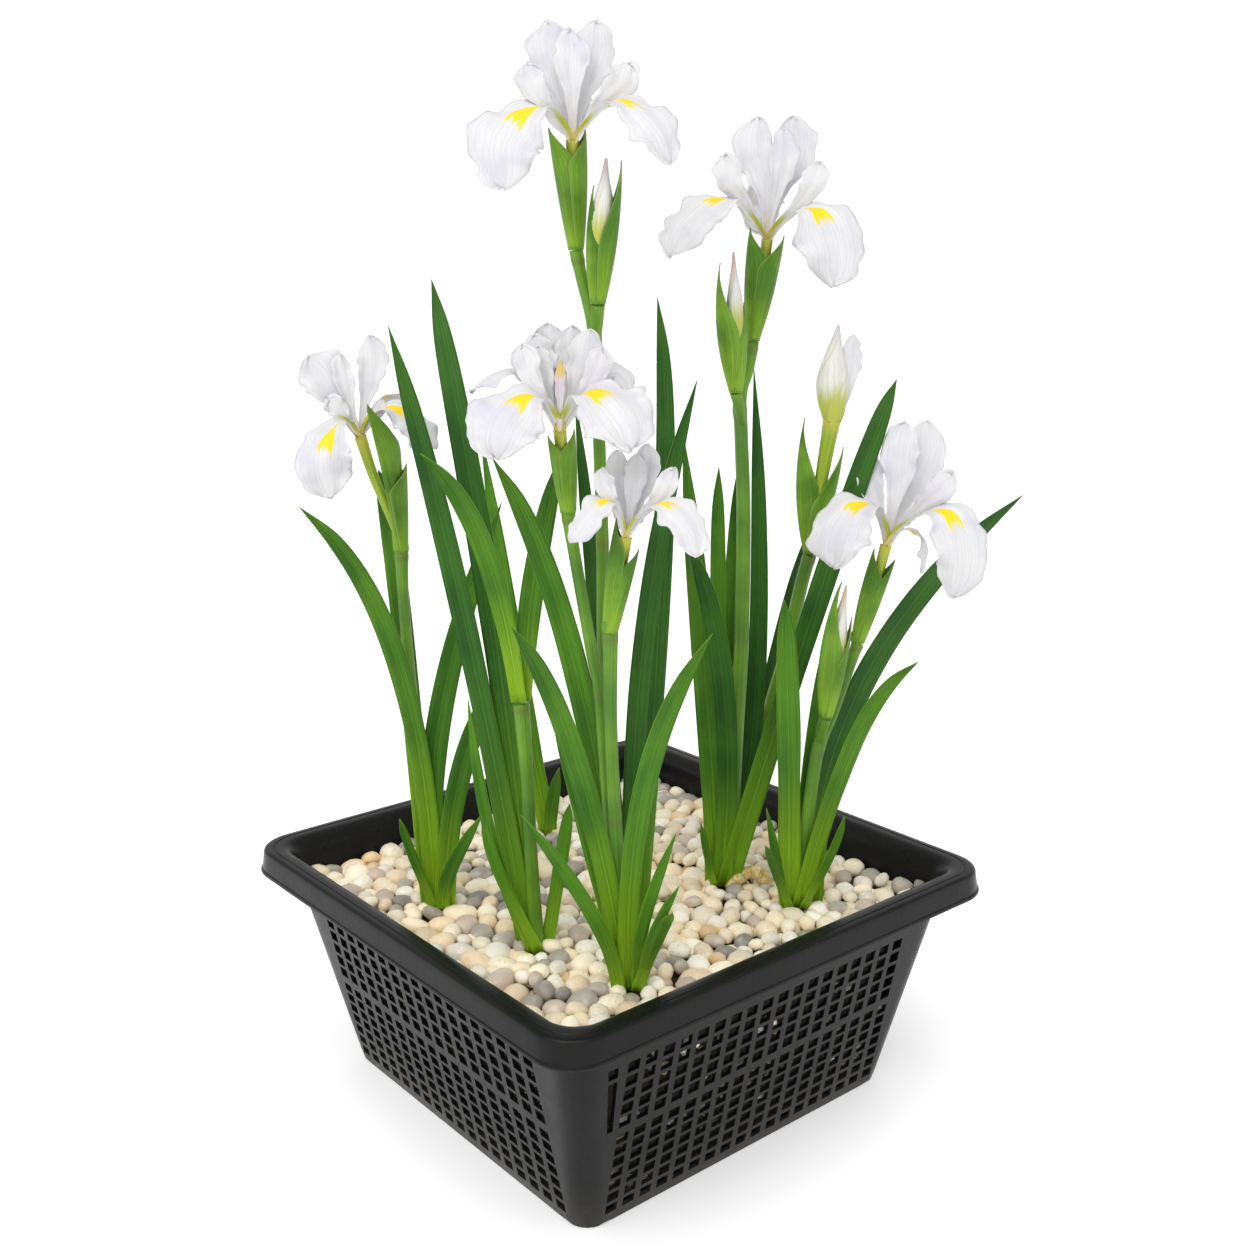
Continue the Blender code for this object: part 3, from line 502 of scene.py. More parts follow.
def packed_blade(node):
    """The middle and the half span, margin to margin, of each ring of a packed leaf, from foot to tip."""
    bm = bmesh.new()
    bm.from_mesh(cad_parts[node].data)
    bmesh.ops.remove_doubles(bm, verts=bm.verts, dist=0.005 * MM)
    lowest = min(vert.co.z for vert in bm.verts)
    ring = {vert for vert in bm.verts if vert.co.z < lowest + 0.02 * MM}
    seen, middles, spans = set(ring), [], []
    while ring:
        corners = sorted((vert.co / MM for vert in ring), key=tuple)
        pairs = [(a, b) for i, a in enumerate(corners) for b in corners[i + 1:]]
        a = b = corners[0]
        if pairs:
            a, b = max(pairs, key=lambda pair: (pair[0] - pair[1]).length)
        span = (b - a) / 2
        if spans and span.dot(spans[-1]) < 0:
            span = -span
        middles.append((a + b) / 2)
        spans.append(span if pairs else spans[-1] * 0.02)
        ring = {edge.other_vert(vert) for vert in ring for edge in vert.link_edges} - seen
        seen |= ring
    bm.free()
    return middles, spans


def leaf_sheet(bm, middles, spans, broad, seed, across=6, rows=30):
    """A creased leaf: its margins come forward of the crease, most at the foot, where it folds shut."""

    def point(u, v):
        middle, span = along(middles, v), along(spans, v) * (1 + broad * max(0.0, 1 - v / 0.32) ** 1.4)
        tangent = along(middles, v + 0.01) - along(middles, v - 0.01)
        face = tangent.cross(span).normalized()
        if face.dot(Vector((-0.62, -0.74, 0.25))) < 0:
            face = -face
        x = u * 2 - 1
        fold = CREASE + SHEATH * max(0.0, 1 - v / 0.22) ** 2
        ripple = EDGE_WAVE * span.length * math.sin(v * 17 + seed + 1.4 * x) * x * x
        flat = span * x * math.sqrt(1 - min(fold, 0.9) ** 2)
        return middle + flat + face * (abs(x) * fold * span.length + ripple)

    return sheet(bm, across, rows, point)


def ribs_group():
    """Lengthwise ribs: fine lines side by side across a UV strip, wandering a little along it."""
    group = bpy.data.node_groups.new("lengthwise_ribs", "ShaderNodeTree")
    for name in ("Count", "Wander", "Seed"):
        group.interface.new_socket(name, in_out="INPUT", socket_type="NodeSocketFloat")
    group.interface.new_socket("UV", in_out="INPUT", socket_type="NodeSocketVector")
    group.interface.new_socket("Ribs", in_out="OUTPUT", socket_type="NodeSocketFloat")
    count, wander, seed, uv = group.nodes.new("NodeGroupInput").outputs[:4]
    u, v, _ = add_node(group, "ShaderNodeSeparateXYZ", [(0, uv)]).outputs
    slow = [(0, math_node(group, "MULTIPLY", u, 3.0)), (1, math_node(group, "MULTIPLY", v, 4.0)), (2, seed)]
    drift = noise_node(group, add_node(group, "ShaderNodeCombineXYZ", slow).outputs[0], 1.0, 2)
    spread = math_node(group, "MULTIPLY", plus_share(group, u, drift, wander), count)
    fine = [(0, spread), (1, math_node(group, "MULTIPLY", v, 1.5)), (2, seed)]
    lines = noise_node(group, add_node(group, "ShaderNodeCombineXYZ", fine).outputs[0], 1.0, 3, 0.6)
    group.links.new(lines, group.nodes.new("NodeGroupOutput").inputs["Ribs"])
    return group


RIBS = ribs_group()


def ribs(tree, uv, count, wander=0.05, seed=0.0):
    group = add_node(tree, "ShaderNodeGroup", node_tree=RIBS)
    for socket, value in (("Count", count), ("Wander", wander), ("Seed", seed)):
        group.inputs[socket].default_value = value
    tree.links.new(uv, group.inputs["UV"])
    return group.outputs["Ribs"]


def from_middle(tree, u):
    return math_node(tree, "ABSOLUTE", math_node(tree, "SUBTRACT", u, 0.5))


def leaf_green(name, deep, mid, pale, pale_from):
    """Leaf: deep green above, yellow-green at the foot, ribs, thin pale margins, a painted highlight on the
    crease, and one half painted lighter as sheen on the fold.
    """
    tree, shader, made = new_material(name)
    uv, u, v = own_uv(tree)
    lines = ribs(tree, uv, 34)
    patch = noise_node(tree, object_place(tree), 22, 3)
    colour = mix_colour(tree, remap(tree, patch, 0.35, 0.65), deep, mid)
    # Painted light: the half of the leaf beyond the crease is made lighter, as sheen on the fold.
    colour = mix_colour(tree, remap(tree, u, 0.47, 0.53, 0.0, 0.38), colour, mid)
    foot = remap(tree, plus_share(tree, v, lines, 0.08), pale_from, 0.02, 0, 0.92)
    colour = shaded(tree, mix_colour(tree, foot, colour, pale), lines, 0.6, 1.32)
    across = from_middle(tree, u)
    # A painted highlight along the crease; the pale margins are the leaf's own colour.
    crease_highlight = remap(tree, across, 0.0, 0.014, 0.3, 0.0)
    margin = remap(tree, across, 0.485, 0.5, 0.0, 0.3)
    bright = tuple(min(1, 1.25 * c + 0.01) for c in pale)
    colour = mix_colour(tree, math_node(tree, "MAXIMUM", crease_highlight, margin), colour, bright)
    shader.inputs["Specular IOR Level"].default_value = 0.24
    surface(tree, shader, colour, remap(tree, lines, 0.3, 0.7, 0.36, 0.5), lines, 0.0007, 0.8)
    return made


# A darker copy of the leaf green, as painted shade, for the leaves further back; the other for the rest.
LEAF_SHADE_DARKENED = leaf_green(
    "leaf_shade_darkened_green", (0.016, 0.085, 0.006), (0.038, 0.145, 0.01), (0.2, 0.42, 0.012), 0.36)
LEAF_MID = leaf_green(
    "leaf_mid_green", (0.036, 0.145, 0.006), (0.085, 0.24, 0.01), (0.29, 0.52, 0.016), 0.46)


def long_leaves():
    for i, node in enumerate(LEAF_NODES):
        middles, spans = packed_blade(node)
        if node not in STEM_LEAVES:
            fan = int(node[5])
            through = fan_point(fan, 0, 1, 0) - fan_point(fan, 0, 0, 0)
            layer = (middles[0] - fan_point(fan, 0, 0, 0)).dot(through)
            for ring, share in enumerate((1.0, 0.62, 0.25)):
                middles[ring] -= through * layer * (1 - FOOT_CLOSING) * share
            middles[0] += (middles[0] - middles[1]).normalized() * ROOT_DEPTH
        bm = new_mesh()
        leaf_sheet(bm, middles, spans, 0.0 if node in STEM_LEAVES else FOOT_SPREAD, i * 1.7)
        green = LEAF_SHADE_DARKENED if node in SHADE_DARKENED_LEAVES else LEAF_MID
        thicken(finish(node.replace("leaf", "sword_leaf"), bm, [green], "leaf_green", node), LEAF_THICKNESS)


long_leaves()

# Crowns. At the foot of each fan young leaves, flattened and set edge to edge with the long ones, come out of
# the gravel, and beside one fan a stub of the rhizome shows.
YOUNG_LEAVES = {  # foot (side, layer), half way (side, height), tip (side, layer, height), width
    1: [((-3, -12.6), (-13, 29), (-19, -18, 54), 5), ((1, -13.4), (5, 22), (21, -28, 57), 7.5)],
    2: [((-1, -7), (-18, 52), (-25, -20, 129), 6.5), ((2, -10), (-16, 42), (-18, -22, 75), 6),
        ((4, 9), (11, 42), (14, 14, 68), 7)],
    3: [((-4, 10.4), (-20, 68), (-35, 14, 131), 7), ((2, -20), (3, 34), (15, -38, 86), 6),
        ((3, -22.6), (7, 31), (15, -48, 66), 5), ((1, -25), (10, 30), (13, -42, 51), 6),
        ((-7, -18.8), (-20, 42), (-51, -45, 100), 7)],
    4: [((-6, -13), (-10, 17), (-13, -15, 37), 4)],
    5: [((3, 10), (8, 64), (22, 22, 140), 7), ((-7, -10.4), (-15, 24), (-28, -30, 65), 5),
        ((-5, -12.6), (-18, 26), (-31, -38, 49), 5), ((2, -12), (13, 27), (15, -24, 54), 5)],
    6: [((1, 2), (-13, 80), (-34, 20, 229), 11), ((2, -4), (3, 14), (8, -9, 41), 8)],
}
YOUNG_FOOT, YOUNG_SPREAD = 0.72, 0.4     # share of its width at a young leaf's foot, and its spread there
STUB_RIGHT, STUB_FORWARD = Vector((0.768, -0.641, 0)), Vector((-3.1, -3.715, 0))
STUB_LINE = [(1, -4), (6, 1.5), (11.5, 5.5), (17, 4.5), (21.5, -1), (23, -5)]    # to the right, and height
STUB_RADII = [2.6, 3.4, 3.2, 3.5, 3.1, 2.2]


def drawn_blade(fan, foot, half_way, tip, width):
    """The middles and half spans of a young leaf, drawn the same way as those of the long ones."""
    start, middle, end = Vector((foot[0], -ROOT_DEPTH)), Vector(half_way), Vector((tip[0], tip[2]))
    control = middle * 2 - (start + end) / 2
    start_layer = foot[1] * FOOT_CLOSING
    middles, spans = [], []
    for step in range(8):
        t = step / 7
        at = start * (1 - t) ** 2 + control * 2 * t * (1 - t) + end * t * t
        tangent = ((control - start) * (1 - t) + (end - control) * t).normalized()
        middles.append(fan_point(fan, at.x, start_layer + (tip[1] - start_layer) * t ** 1.5, at.y))
        flat = fan_point(fan, tangent.y, 0, -tangent.x) - fan_point(fan, 0, 0, 0)
        spans.append(flat * max(width * min(1, YOUNG_FOOT + 0.7 * t) * (1 - t ** 6) ** 0.85, 0.2) / 2)
    return middles, spans


def ring_point(path, v, step, angle, radius):
    """A point round a smooth path, at a share v of its length; step is the share used to find its slope."""
    tangent = (along(path, v + step) - along(path, v - step)).normalized()
    side = tangent.cross(Vector((0, 1, 0))).normalized()
    return along(path, v) + (side * math.cos(angle) + side.cross(tangent) * math.sin(angle)) * radius


def close_tube(bm, rolled, around):
    """Joins the seam of a rolled up sheet and fills its ends."""
    bmesh.ops.remove_doubles(bm, verts=rolled, dist=0.004 * MM)
    bmesh.ops.holes_fill(bm, edges=[edge for edge in bm.edges if edge.is_boundary], sides=around)


def tube(bm, points, radii, around, rows, oval=0.0):
    """A closed stem along a smooth line through its points, faintly fluted."""
    path = [along(points, step / 60) for step in range(61)]

    def point(u, v):
        angle = 2 * math.pi * u
        radius = along(radii, v) * (1 + oval * math.cos(2 * angle) + 0.02 * math.cos(9 * angle))
        return ring_point(path, v, 0.01, angle, radius)

    close_tube(bm, sheet(bm, around, rows, point), around)


def rhizome_stub():
    """The stub of rhizome that shows over the gravel: bent like a knuckle, amber, scarred with rings."""
    tree, shader, made = new_material("rhizome_amber")
    patch = noise_node(tree, object_place(tree), 260, 4)
    colour = mix_colour(tree, remap(tree, patch, 0.35, 0.65), (0.62, 0.40, 0.09), (0.86, 0.72, 0.36))
    rings = math_node(tree, "SINE", math_node(tree, "MULTIPLY", own_uv(tree)[2], 46))
    colour = mix_colour(tree, remap(tree, rings, 0.8, 1.0, 0, 0.5), colour, (0.34, 0.2, 0.06))
    relief = math_node(tree, "ADD", rings, patch)
    surface(tree, shader, colour, remap(tree, patch, 0.3, 0.7, 0.45, 0.6), relief, 0.0004, 0.5)
    bm = new_mesh()
    foot = Vector((*FANS[4][0], GRAVEL_TOP)) + STUB_FORWARD
    tube(bm, [foot + STUB_RIGHT * x + Vector((0, 0, z)) for x, z in STUB_LINE], STUB_RADII, 16, 30, 0.08)
    finish("rhizome_stub", bm, [made], "leaf_green", "crown_4", outward=True)


def crowns():
    young = leaf_green("young_leaf_green", (0.045, 0.18, 0.007), (0.1, 0.29, 0.011), (0.3, 0.54, 0.02), 0.5)
    for fan, leaves in YOUNG_LEAVES.items():
        bm = new_mesh()
        for i, shape in enumerate(leaves):
            leaf_sheet(bm, *drawn_blade(fan, *shape), YOUNG_SPREAD, fan + i, 4, 22)
        thicken(finish(f"crown_{fan}_young_leaves", bm, [young], "leaf_green", f"crown_{fan}"),
                LEAF_THICKNESS)


crowns()
rhizome_stub()

# Flower stalks. Round solid green stems, ribbed lengthwise, a little swollen and darker at each node, with a
# side branch under each bud.
STALKS = {  # fan, then points (side, layer, height, radius) from the gravel to the spathe
    "stalk_1": (1, [(-1, 0.6, -4, 3), (-5, 0.6, 55, 2.9), (-10, 0.6, 114, 2.8), (-12, 0.6, 160, 2.6),
                    (-12, 0.6, 185, 3.2)]),
    "stalk_2": (2, [(0, -1.2, -4, 3.6), (-2, -1.2, 48, 3.1), (-3, -1.2, 84, 3), (-5, -1.6, 122.5, 3.8)]),
    "stalk_3a": (3, [(-2, -10, -4, 3), (-8, -10, 75, 3), (-10, -10, 127, 2.8), (-10, -10, 168, 3.4)]),
    "stalk_3b": (3, [(-5, -2, -4, 3), (-11, -1, 91, 2.8), (-14, 0, 138, 2.7), (-17, 2, 156, 2.6),
                     (-24, 7, 201, 2.6), (-26, 10, 216.5, 3)]),
    "stalk_3c": (3, [(-5, 15.6, -4, 3), (-10, 18, 132, 2.9), (-10, 24, 200, 2.8), (-11, 33, 270, 2.7),
                     (-12, 36, 295, 3.2), (-17, 39, 316, 2.6), (-19, 40, 326.5, 3)]),
    "stalk_4a": (4, [(1, 0, -4, 4), (4, 0, 78, 4), (6, 3, 130, 3.8), (6, 10, 193, 3.6), (4, 17, 235, 3.4),
                     (3, 20, 255, 3.6), (7, 23, 268, 2.8), (9, 25, 281.5, 3)]),
    "stalk_4b": (4, [(2, 15.8, -4, 3.8), (9, 15.8, 37, 3.8), (22, 15.8, 93, 3.7), (29, 15.8, 121, 3.6),
                     (36, 15, 158, 3.5), (40, 14, 174.5, 3.4)]),
    "stalk_5": (5, [(1, 0, -4, 3.4), (4, 0, 33, 3.3), (9, 0, 78, 3.2), (17, 0, 101, 3), (26, 0, 127, 2.8),
                    (29, 0, 135.5, 3)]),
}
BRANCHES = {
    "stalk_3c": [(-11.6, 35.5, 286, 2.2), (-11, 33, 295, 2.8), (-10.5, 29.5, 304, 3)],
    "stalk_4a": [(4.4, 17, 240, 2.2), (3, 14, 249, 2.8), (1, 11.4, 257, 3)],
    "stalk_5": [(10.5, 0, 84, 2.2), (9.5, -4, 93, 2.8), (10, -8, 101, 3)],
}
STALK_NODES = {  # shares of the length at which the stem has a node
    "stalk_1": (0.42, 0.985), "stalk_2": (0.98,), "stalk_3a": (0.5, 0.985), "stalk_3b": (0.64, 0.985),
    "stalk_3c": (0.62, 0.86, 0.985), "stalk_4a": (0.48, 0.87, 0.985), "stalk_4b": (0.52, 0.985),
    "stalk_5": (0.6, 0.985),
}
STALK_ROWS = 90
SWELLING, SWELLING_REACH = 0.07, 2.2     # how much thicker a stem is at a node, and how far that reaches
DARK_REACH = 1.6                 # how far the darker ring of a node reaches


def stalk_green():
    """Stem green: mottled, darker and browner at each node, with long ribs and a soft waxy bloom."""
    tree, shader, made = new_material("stalk_green")
    lines = ribs(tree, own_uv(tree)[0], 30, 0.02, 3.0)
    patch = noise_node(tree, object_place(tree), 26, 3)
    colour = mix_colour(tree, remap(tree, patch, 0.35, 0.65), (0.058, 0.175, 0.003), (0.13, 0.30, 0.007))
    ring = add_node(tree, "ShaderNodeAttribute", attribute_name="node_ring", attribute_type="GEOMETRY")
    darker = math_node(tree, "MULTIPLY", ring.outputs["Fac"], 0.6)
    colour = mix_colour(tree, darker, shaded(tree, colour, lines, 0.8, 1.2), (0.12, 0.13, 0.02))
    surface(tree, shader, colour, remap(tree, lines, 0.3, 0.7, 0.38, 0.52), lines, 0.0004, 0.5)
    return made


STALK_GREEN = stalk_green()


def nearest_node(name, share, length, reach):
    """How near a share of a stalk's length is to one of its nodes: 1 at the node, fading over the reach."""
    return max(math.exp(-((share - at) * length / reach) ** 2) for at in STALK_NODES[name])


def stalks():
    for name, (fan, points) in STALKS.items():
        path = [fan_point(fan, *point[:3]) for point in points]
        path[0] = fan_point(fan, points[0][0], points[0][1] * FOOT_CLOSING, points[0][2])
        lengths = [0.0]
        for a, b in zip(path, path[1:]):
            lengths.append(lengths[-1] + (b - a).length)
        radii = []
        for row in range(STALK_ROWS + 1):
            spot = row / STALK_ROWS * (len(points) - 1)
            i = min(int(spot), len(points) - 2)
            radius = points[i][3] + (points[i + 1][3] - points[i][3]) * (spot - i)
            run = (lengths[i] + (lengths[i + 1] - lengths[i]) * (spot - i)) / lengths[-1]
            radii.append(radius * (1 + SWELLING * nearest_node(name, run, lengths[-1], SWELLING_REACH)))
        bm = new_mesh()
        ring = bm.verts.layers.float.new("node_ring")
        tube(bm, path, radii, 18, STALK_ROWS, 0.04)
        low, high = path[0].z, path[-1].z
        for vert in bm.verts:
            share = (vert.co.z / MM - low) / (high - low)
            vert[ring] = nearest_node(name, share, lengths[-1], DARK_REACH)
        branch = BRANCHES.get(name)
        if branch:
            line = [fan_point(fan, *point[:3]) for point in branch]
            tube(bm, line, [point[3] for point in branch], 14, 12)
        finish(name.replace("stalk", "flower_stalk"), bm, [STALK_GREEN], "stalk_green", name, outward=True)


stalks()

# Spathes. Each flower or bud comes out between two boat-shaped green valves with thin papery margins, folded
# along the keel and wrapped round the top of the stalk over a short swollen plug.
SPATHES = {  # fan, foot, then each valve as keel direction, tip from the foot, bulge, width
    "spathe_1": (3, (-19, 40, 327.5), [(195, (-11, -4, 49), 0.5, 13), (10, (4.5, 2, 49), 1, 13)]),
    "spathe_2": (4, (9, 25, 282.5), [(190, (-2, -2, 54), 2, 14), (0, (14, 2, 50), 1.5, 14)]),
    "spathe_3": (1, (-12, 0.6, 185.5), [(-60, (-13, -8.6, 72), 1.0, 8), (10, (4, 3, 42), 0.3, 8)]),
    "spathe_4": (3, (-26, 10, 217.5), [(190, (-8, -3, 33), 0.6, 10), (-10, (3, 3, 35), 0.8, 10)]),
    "spathe_5": (3, (-10, -10, 168.5), [(170, (4, 5, 49), 1.4, 9), (-20, (12, -2, 36), 0.4, 9)]),
    "spathe_6": (5, (29, 0, 137), [(170, (8, 2, 46), 1.4, 10), (-10, (17, -2, 41), 0.6, 10)]),
    "spathe_7": (4, (40, 14, 176), [(185, (-4, -2, 69), 4, 11), (-10, (15, 1, 54), 2, 12)]),
    "spathe_8": (3, (-10.5, 29.5, 305), [(180, (-1, 1, 48), 2.5, 10), (0, (10, -1, 58), 2, 12)]),
    "spathe_9": (4, (1, 11.4, 258), [(185, (-8, -3, 62), 4, 12), (20, (3, 3.4, 43), 2, 9)]),
    "spathe_10": (5, (10, -8, 102), [(180, (6, -1, 68), 5, 11), (-10, (11, -1, 50), 2, 10)]),
}
OPEN_FROM = {"spathe_7": 0.3, "spathe_8": 0.34, "spathe_9": 0.36, "spathe_10": 0.36}     # share of the height
OTHERS_OPEN_FROM = 0.66
THROAT, KEEL_FOOT = 3.1, 2.9     # half the depth of a pod at its foot, and how far out its keel starts
VALVE_REACH = 104                # degrees that each valve wraps round to either side of its keel
VALVE_THICKNESS = 0.5
PLUG_HEIGHT, PLUG_RADII = 5.0, [3.3, 3.7, 3.6, 2.6]


def valve_sheet(bm, fan, foot, lean, open_from, keel, tip, bulge, width):
    """One valve: half of a closed pod, keeled on its outer side, that parts from the other near its tip."""
    angle = math.radians(keel)
    outward = Vector((math.cos(angle), math.sin(angle), 0))
    aside = Vector((-outward.y, outward.x, 0))
    start, end = outward * KEEL_FOOT, Vector(tip)
    control = ((start + end) / 2 + outward * bulge) * 2 - (start + end) / 2

    def point(u, v):
        x = u * 2 - 1
        edge = start * (1 - v) ** 2 + control * 2 * v * (1 - v) + end * v * v
        axis = Vector((lean.x * v, lean.y * v, edge.z))
        opened = min(max((v - open_from) / (1 - open_from), 0), 1)
        depth = THROAT + (0.4 * width - THROAT) * math.sin(math.pi * min(v * 0.85 + 0.05, 1))
        turn = x * math.radians(VALVE_REACH) * (1 - opened ** 1.7)
        out = (edge - axis) * math.copysign(abs(math.cos(turn)) ** 0.8, math.cos(turn))
        lap = 0.35 * abs(x) * math.copysign(1, x * outward.x) * (1 - opened)
        return fan_point(fan, *(Vector(foot) + axis + out + aside * (depth * math.sin(turn) + lap)))

    return sheet(bm, 16, 34, point)


def spathe_green():
    """Spathe green: ribs that run to the tip, thin pale margins and a touch of brown at the very point."""
    tree, shader, made = new_material("spathe_green")
    uv, u, v = own_uv(tree)
    lines = ribs(tree, uv, 28, 0.03, 7.0)
    patch = noise_node(tree, object_place(tree), 40, 3)
    colour = mix_colour(tree, remap(tree, patch, 0.35, 0.65), (0.060, 0.165, 0.009), (0.15, 0.31, 0.022))
    colour = mix_colour(tree, remap(tree, v, 0.55, 0.0, 0, 0.5), colour, (0.26, 0.44, 0.016))
    colour = shaded(tree, colour, lines, 0.78, 1.2)
    margin = remap(tree, from_middle(tree, u), 0.475, 0.5, 0.0, 0.6)
    colour = mix_colour(tree, margin, colour, (0.3, 0.38, 0.12))
    colour = mix_colour(tree, remap(tree, v, 0.94, 1.0, 0.0, 0.75), colour, (0.2, 0.13, 0.05))
    shader.inputs["Specular IOR Level"].default_value = 0.24
    surface(tree, shader, colour, remap(tree, lines, 0.3, 0.7, 0.38, 0.52), lines, 0.0004, 0.5)
    return made


def spathes():
    green = spathe_green()
    for name, (fan, foot, valves) in SPATHES.items():
        bm = new_mesh()
        lean = (Vector(valves[0][1]) + Vector(valves[1][1])) / 2
        for shape in valves:
            valve_sheet(bm, fan, foot, lean, OPEN_FROM.get(name, OTHERS_OPEN_FROM), *shape)
        thicken(finish(f"{name}_valves", bm, [green], "stalk_green", name), VALVE_THICKNESS, 1)
        bm = new_mesh()
        bm.verts.layers.float.new("node_ring")
        heights = (-1, 1, 3.5, PLUG_HEIGHT + 1)
        tube(bm, [fan_point(fan, *foot[:2], foot[2] + z) for z in heights], PLUG_RADII, 18, 10)
        finish(f"{name}_plug", bm, [STALK_GREEN], "stalk_green", name, outward=True)


def plug_top(spathe):
    fan, foot, _ = SPATHES[spathe]
    return fan_point(fan, *foot[:2], foot[2] + PLUG_HEIGHT)


spathes()

# Closed buds. Petals furled tightly into a pointed spindle, white or cream with a green foot and a violet or
# pink tinge at the tip, each standing between the valves of its spathe.
BUDS = {  # the spathe, tip from its foot, radius, tinge of the tip
    "bud_1": ("spathe_8", (4, 0, 59), 5.0, (0.42, 0.34, 0.40)),
    "bud_2": ("spathe_9", (-2, 0, 67), 4.2, (0.50, 0.33, 0.33)),
    "bud_3": ("spathe_10", (8, -1, 66), 4.4, (0.60, 0.40, 0.32)),
}
BUD_SHARES = [0.4, 0.55, 0.72, 0.9, 1.0, 0.92, 0.66, 0.34, 0.1]      # of the radius, from foot to tip
BUD_GREEN_TO = 0.56              # share of its length up to which a closed bud is green


def furled(bm, points, radii, around=32, rows=34, turns=0.55, step=0.16):
    """A furled spindle: each of three petals laps the next, in a lazy spiral up to the point."""
    path = [along(points, i / 40) for i in range(41)]

    def point(u, v):
        lap = (u * 3 + turns * v * 3) % 1
        radius = along(radii, v) * (1 + step * (lap - 0.5) * (1 - 0.4 * v))
        return ring_point(path, v, 0.02, 2 * math.pi * u, radius)

    close_tube(bm, sheet(bm, around, rows, point), around)


def bud_white(name, tip, green_to):
    """Bud: finely veined white, yellow-green low down, olive along the laps and tinged at the point."""
    tree, shader, made = new_material(name)
    uv, u, v = own_uv(tree)
    lines = ribs(tree, uv, 34, 0.05, 2.0)
    colour = mix_colour(tree, remap(tree, lines, 0.3, 0.7), (0.60, 0.59, 0.54), (0.72, 0.71, 0.68))
    low = remap(tree, plus_share(tree, v, lines, 0.25), green_to + 0.26, green_to)
    colour = mix_colour(tree, low, colour, (0.42, 0.46, 0.06))
    colour = mix_colour(tree, remap(tree, plus_share(tree, v, lines, 0.2), 0.84, 1.1), colour, tip)
    lap = math_node(tree, "FRACT", math_node(tree, "MULTIPLY", plus_share(tree, u, v, 0.55), 3.0))
    colour = mix_colour(tree, remap(tree, lap, 0.9, 1.0, 0, 0.7), colour, (0.45, 0.44, 0.12))
    surface(tree, shader, colour, remap(tree, lines, 0.3, 0.7, 0.42, 0.55), lines, 0.0003, 0.4)
    return made


def buds():
    for name, (spathe, tip, radius, tinge) in BUDS.items():
        fan, foot, _ = SPATHES[spathe]
        low, high = plug_top(spathe), fan_point(fan, *(Vector(foot) + Vector(tip)))
        bm = new_mesh()
        line = [low.lerp(high, share) for share in (0, 0.33, 0.66, 1)]
        furled(bm, line, [radius * share for share in BUD_SHARES])
        white = bud_white(f"{name}_white", tinge, BUD_GREEN_TO)
        finish(f"{name}_furled_petals", bm, [white], "bud_cream", name, outward=True)


buds()

# Open flowers. Thin white petals with lilac-grey patches of painted shade: three falls that arch over, each
# with a feathered yellow signal, the upright ruffled standards, and the narrow style arms lying over the
# falls.
# Petals are set out from the throat on axes across, up and toward a point off the basket's front corner.
ACROSS = Vector((0.768, -0.641, 0.0))
UP = Vector((0.162, 0.194, 0.968))
FACING = Vector((-457, -560, 439))
PETAL_THICKNESS = 0.4
FALL_SHAPE = [0.18, 0.21, 0.24, 0.29, 0.39, 0.56, 0.76, 0.90, 0.98, 1.0, 1.0, 0.98, 0.95]
STANDARD_SHAPE = [0.18, 0.20, 0.23, 0.29, 0.38, 0.54, 0.76, 0.94, 1.0, 0.98, 0.94, 0.88]
ARM_SHAPE = [0.32, 0.32, 0.34, 0.38, 0.44, 0.54, 0.72, 0.92, 1.08, 1.1, 1.0]
ROW_CROWDING = 1.35              # the power by which the rows of a petal crowd toward its end
FALL_CUPS = [0.5, 0.55, 0.5, 0.3, 0.05, -0.12, -0.16, -0.16, -0.12, -0.05]
STANDARD_CUPS = [0.5, 0.45, 0.42, 0.38, 0.32, 0.24, 0.12, -0.05, -0.2]
ARM_CUPS = [-0.3, -0.3, -0.28, -0.2, -0.1, 0.0, 0.1]
PETAL_KINDS = {  # widths and cups along it, ruffle, raggedness, the shares where it rounds off and turns
    "fall": (FALL_SHAPE, FALL_CUPS, 0.07, 0.09, 0.7, 0.34),
    "standard": (STANDARD_SHAPE, STANDARD_CUPS, 0.08, 0.09, 0.82, 0.15),
    "arm": (ARM_SHAPE, ARM_CUPS, 0.11, 0.3, 0.84, 0.15),
    "hood": (ARM_SHAPE, STANDARD_CUPS, 0.0, 0.09, 0.3, 0.15),
}
PETAL_PIECES = {  # the finish and the piece of each kind of petal
    "fall": ("fall_white", "falls"), "standard": ("standard_white", "standards"),
    "arm": ("style_arm_white", "style_arms"), "hood": ("hood_gold", "hood"),
}
UNEVEN, WANDER = 0.26, 0.7       # how uneven the margins are, and how irregular their waves
WAVES, FRILLS, FOLDS = 19, 43, 7     # pace of the waves and frills along a petal, and of the folds across it
FRILL, FOLD = 0.034, 0.02        # height of the frills and folds, as shares of the width
BLADE_FROM, BLADE_TO = 0.3, 0.55     # shares of the length over which the waves set in
TURN_OVER = 0.38                 # share of the length over which a petal turns to the way its end faces
TUBE_RADII = [2.3, 2.3, 2.4, 2.9]

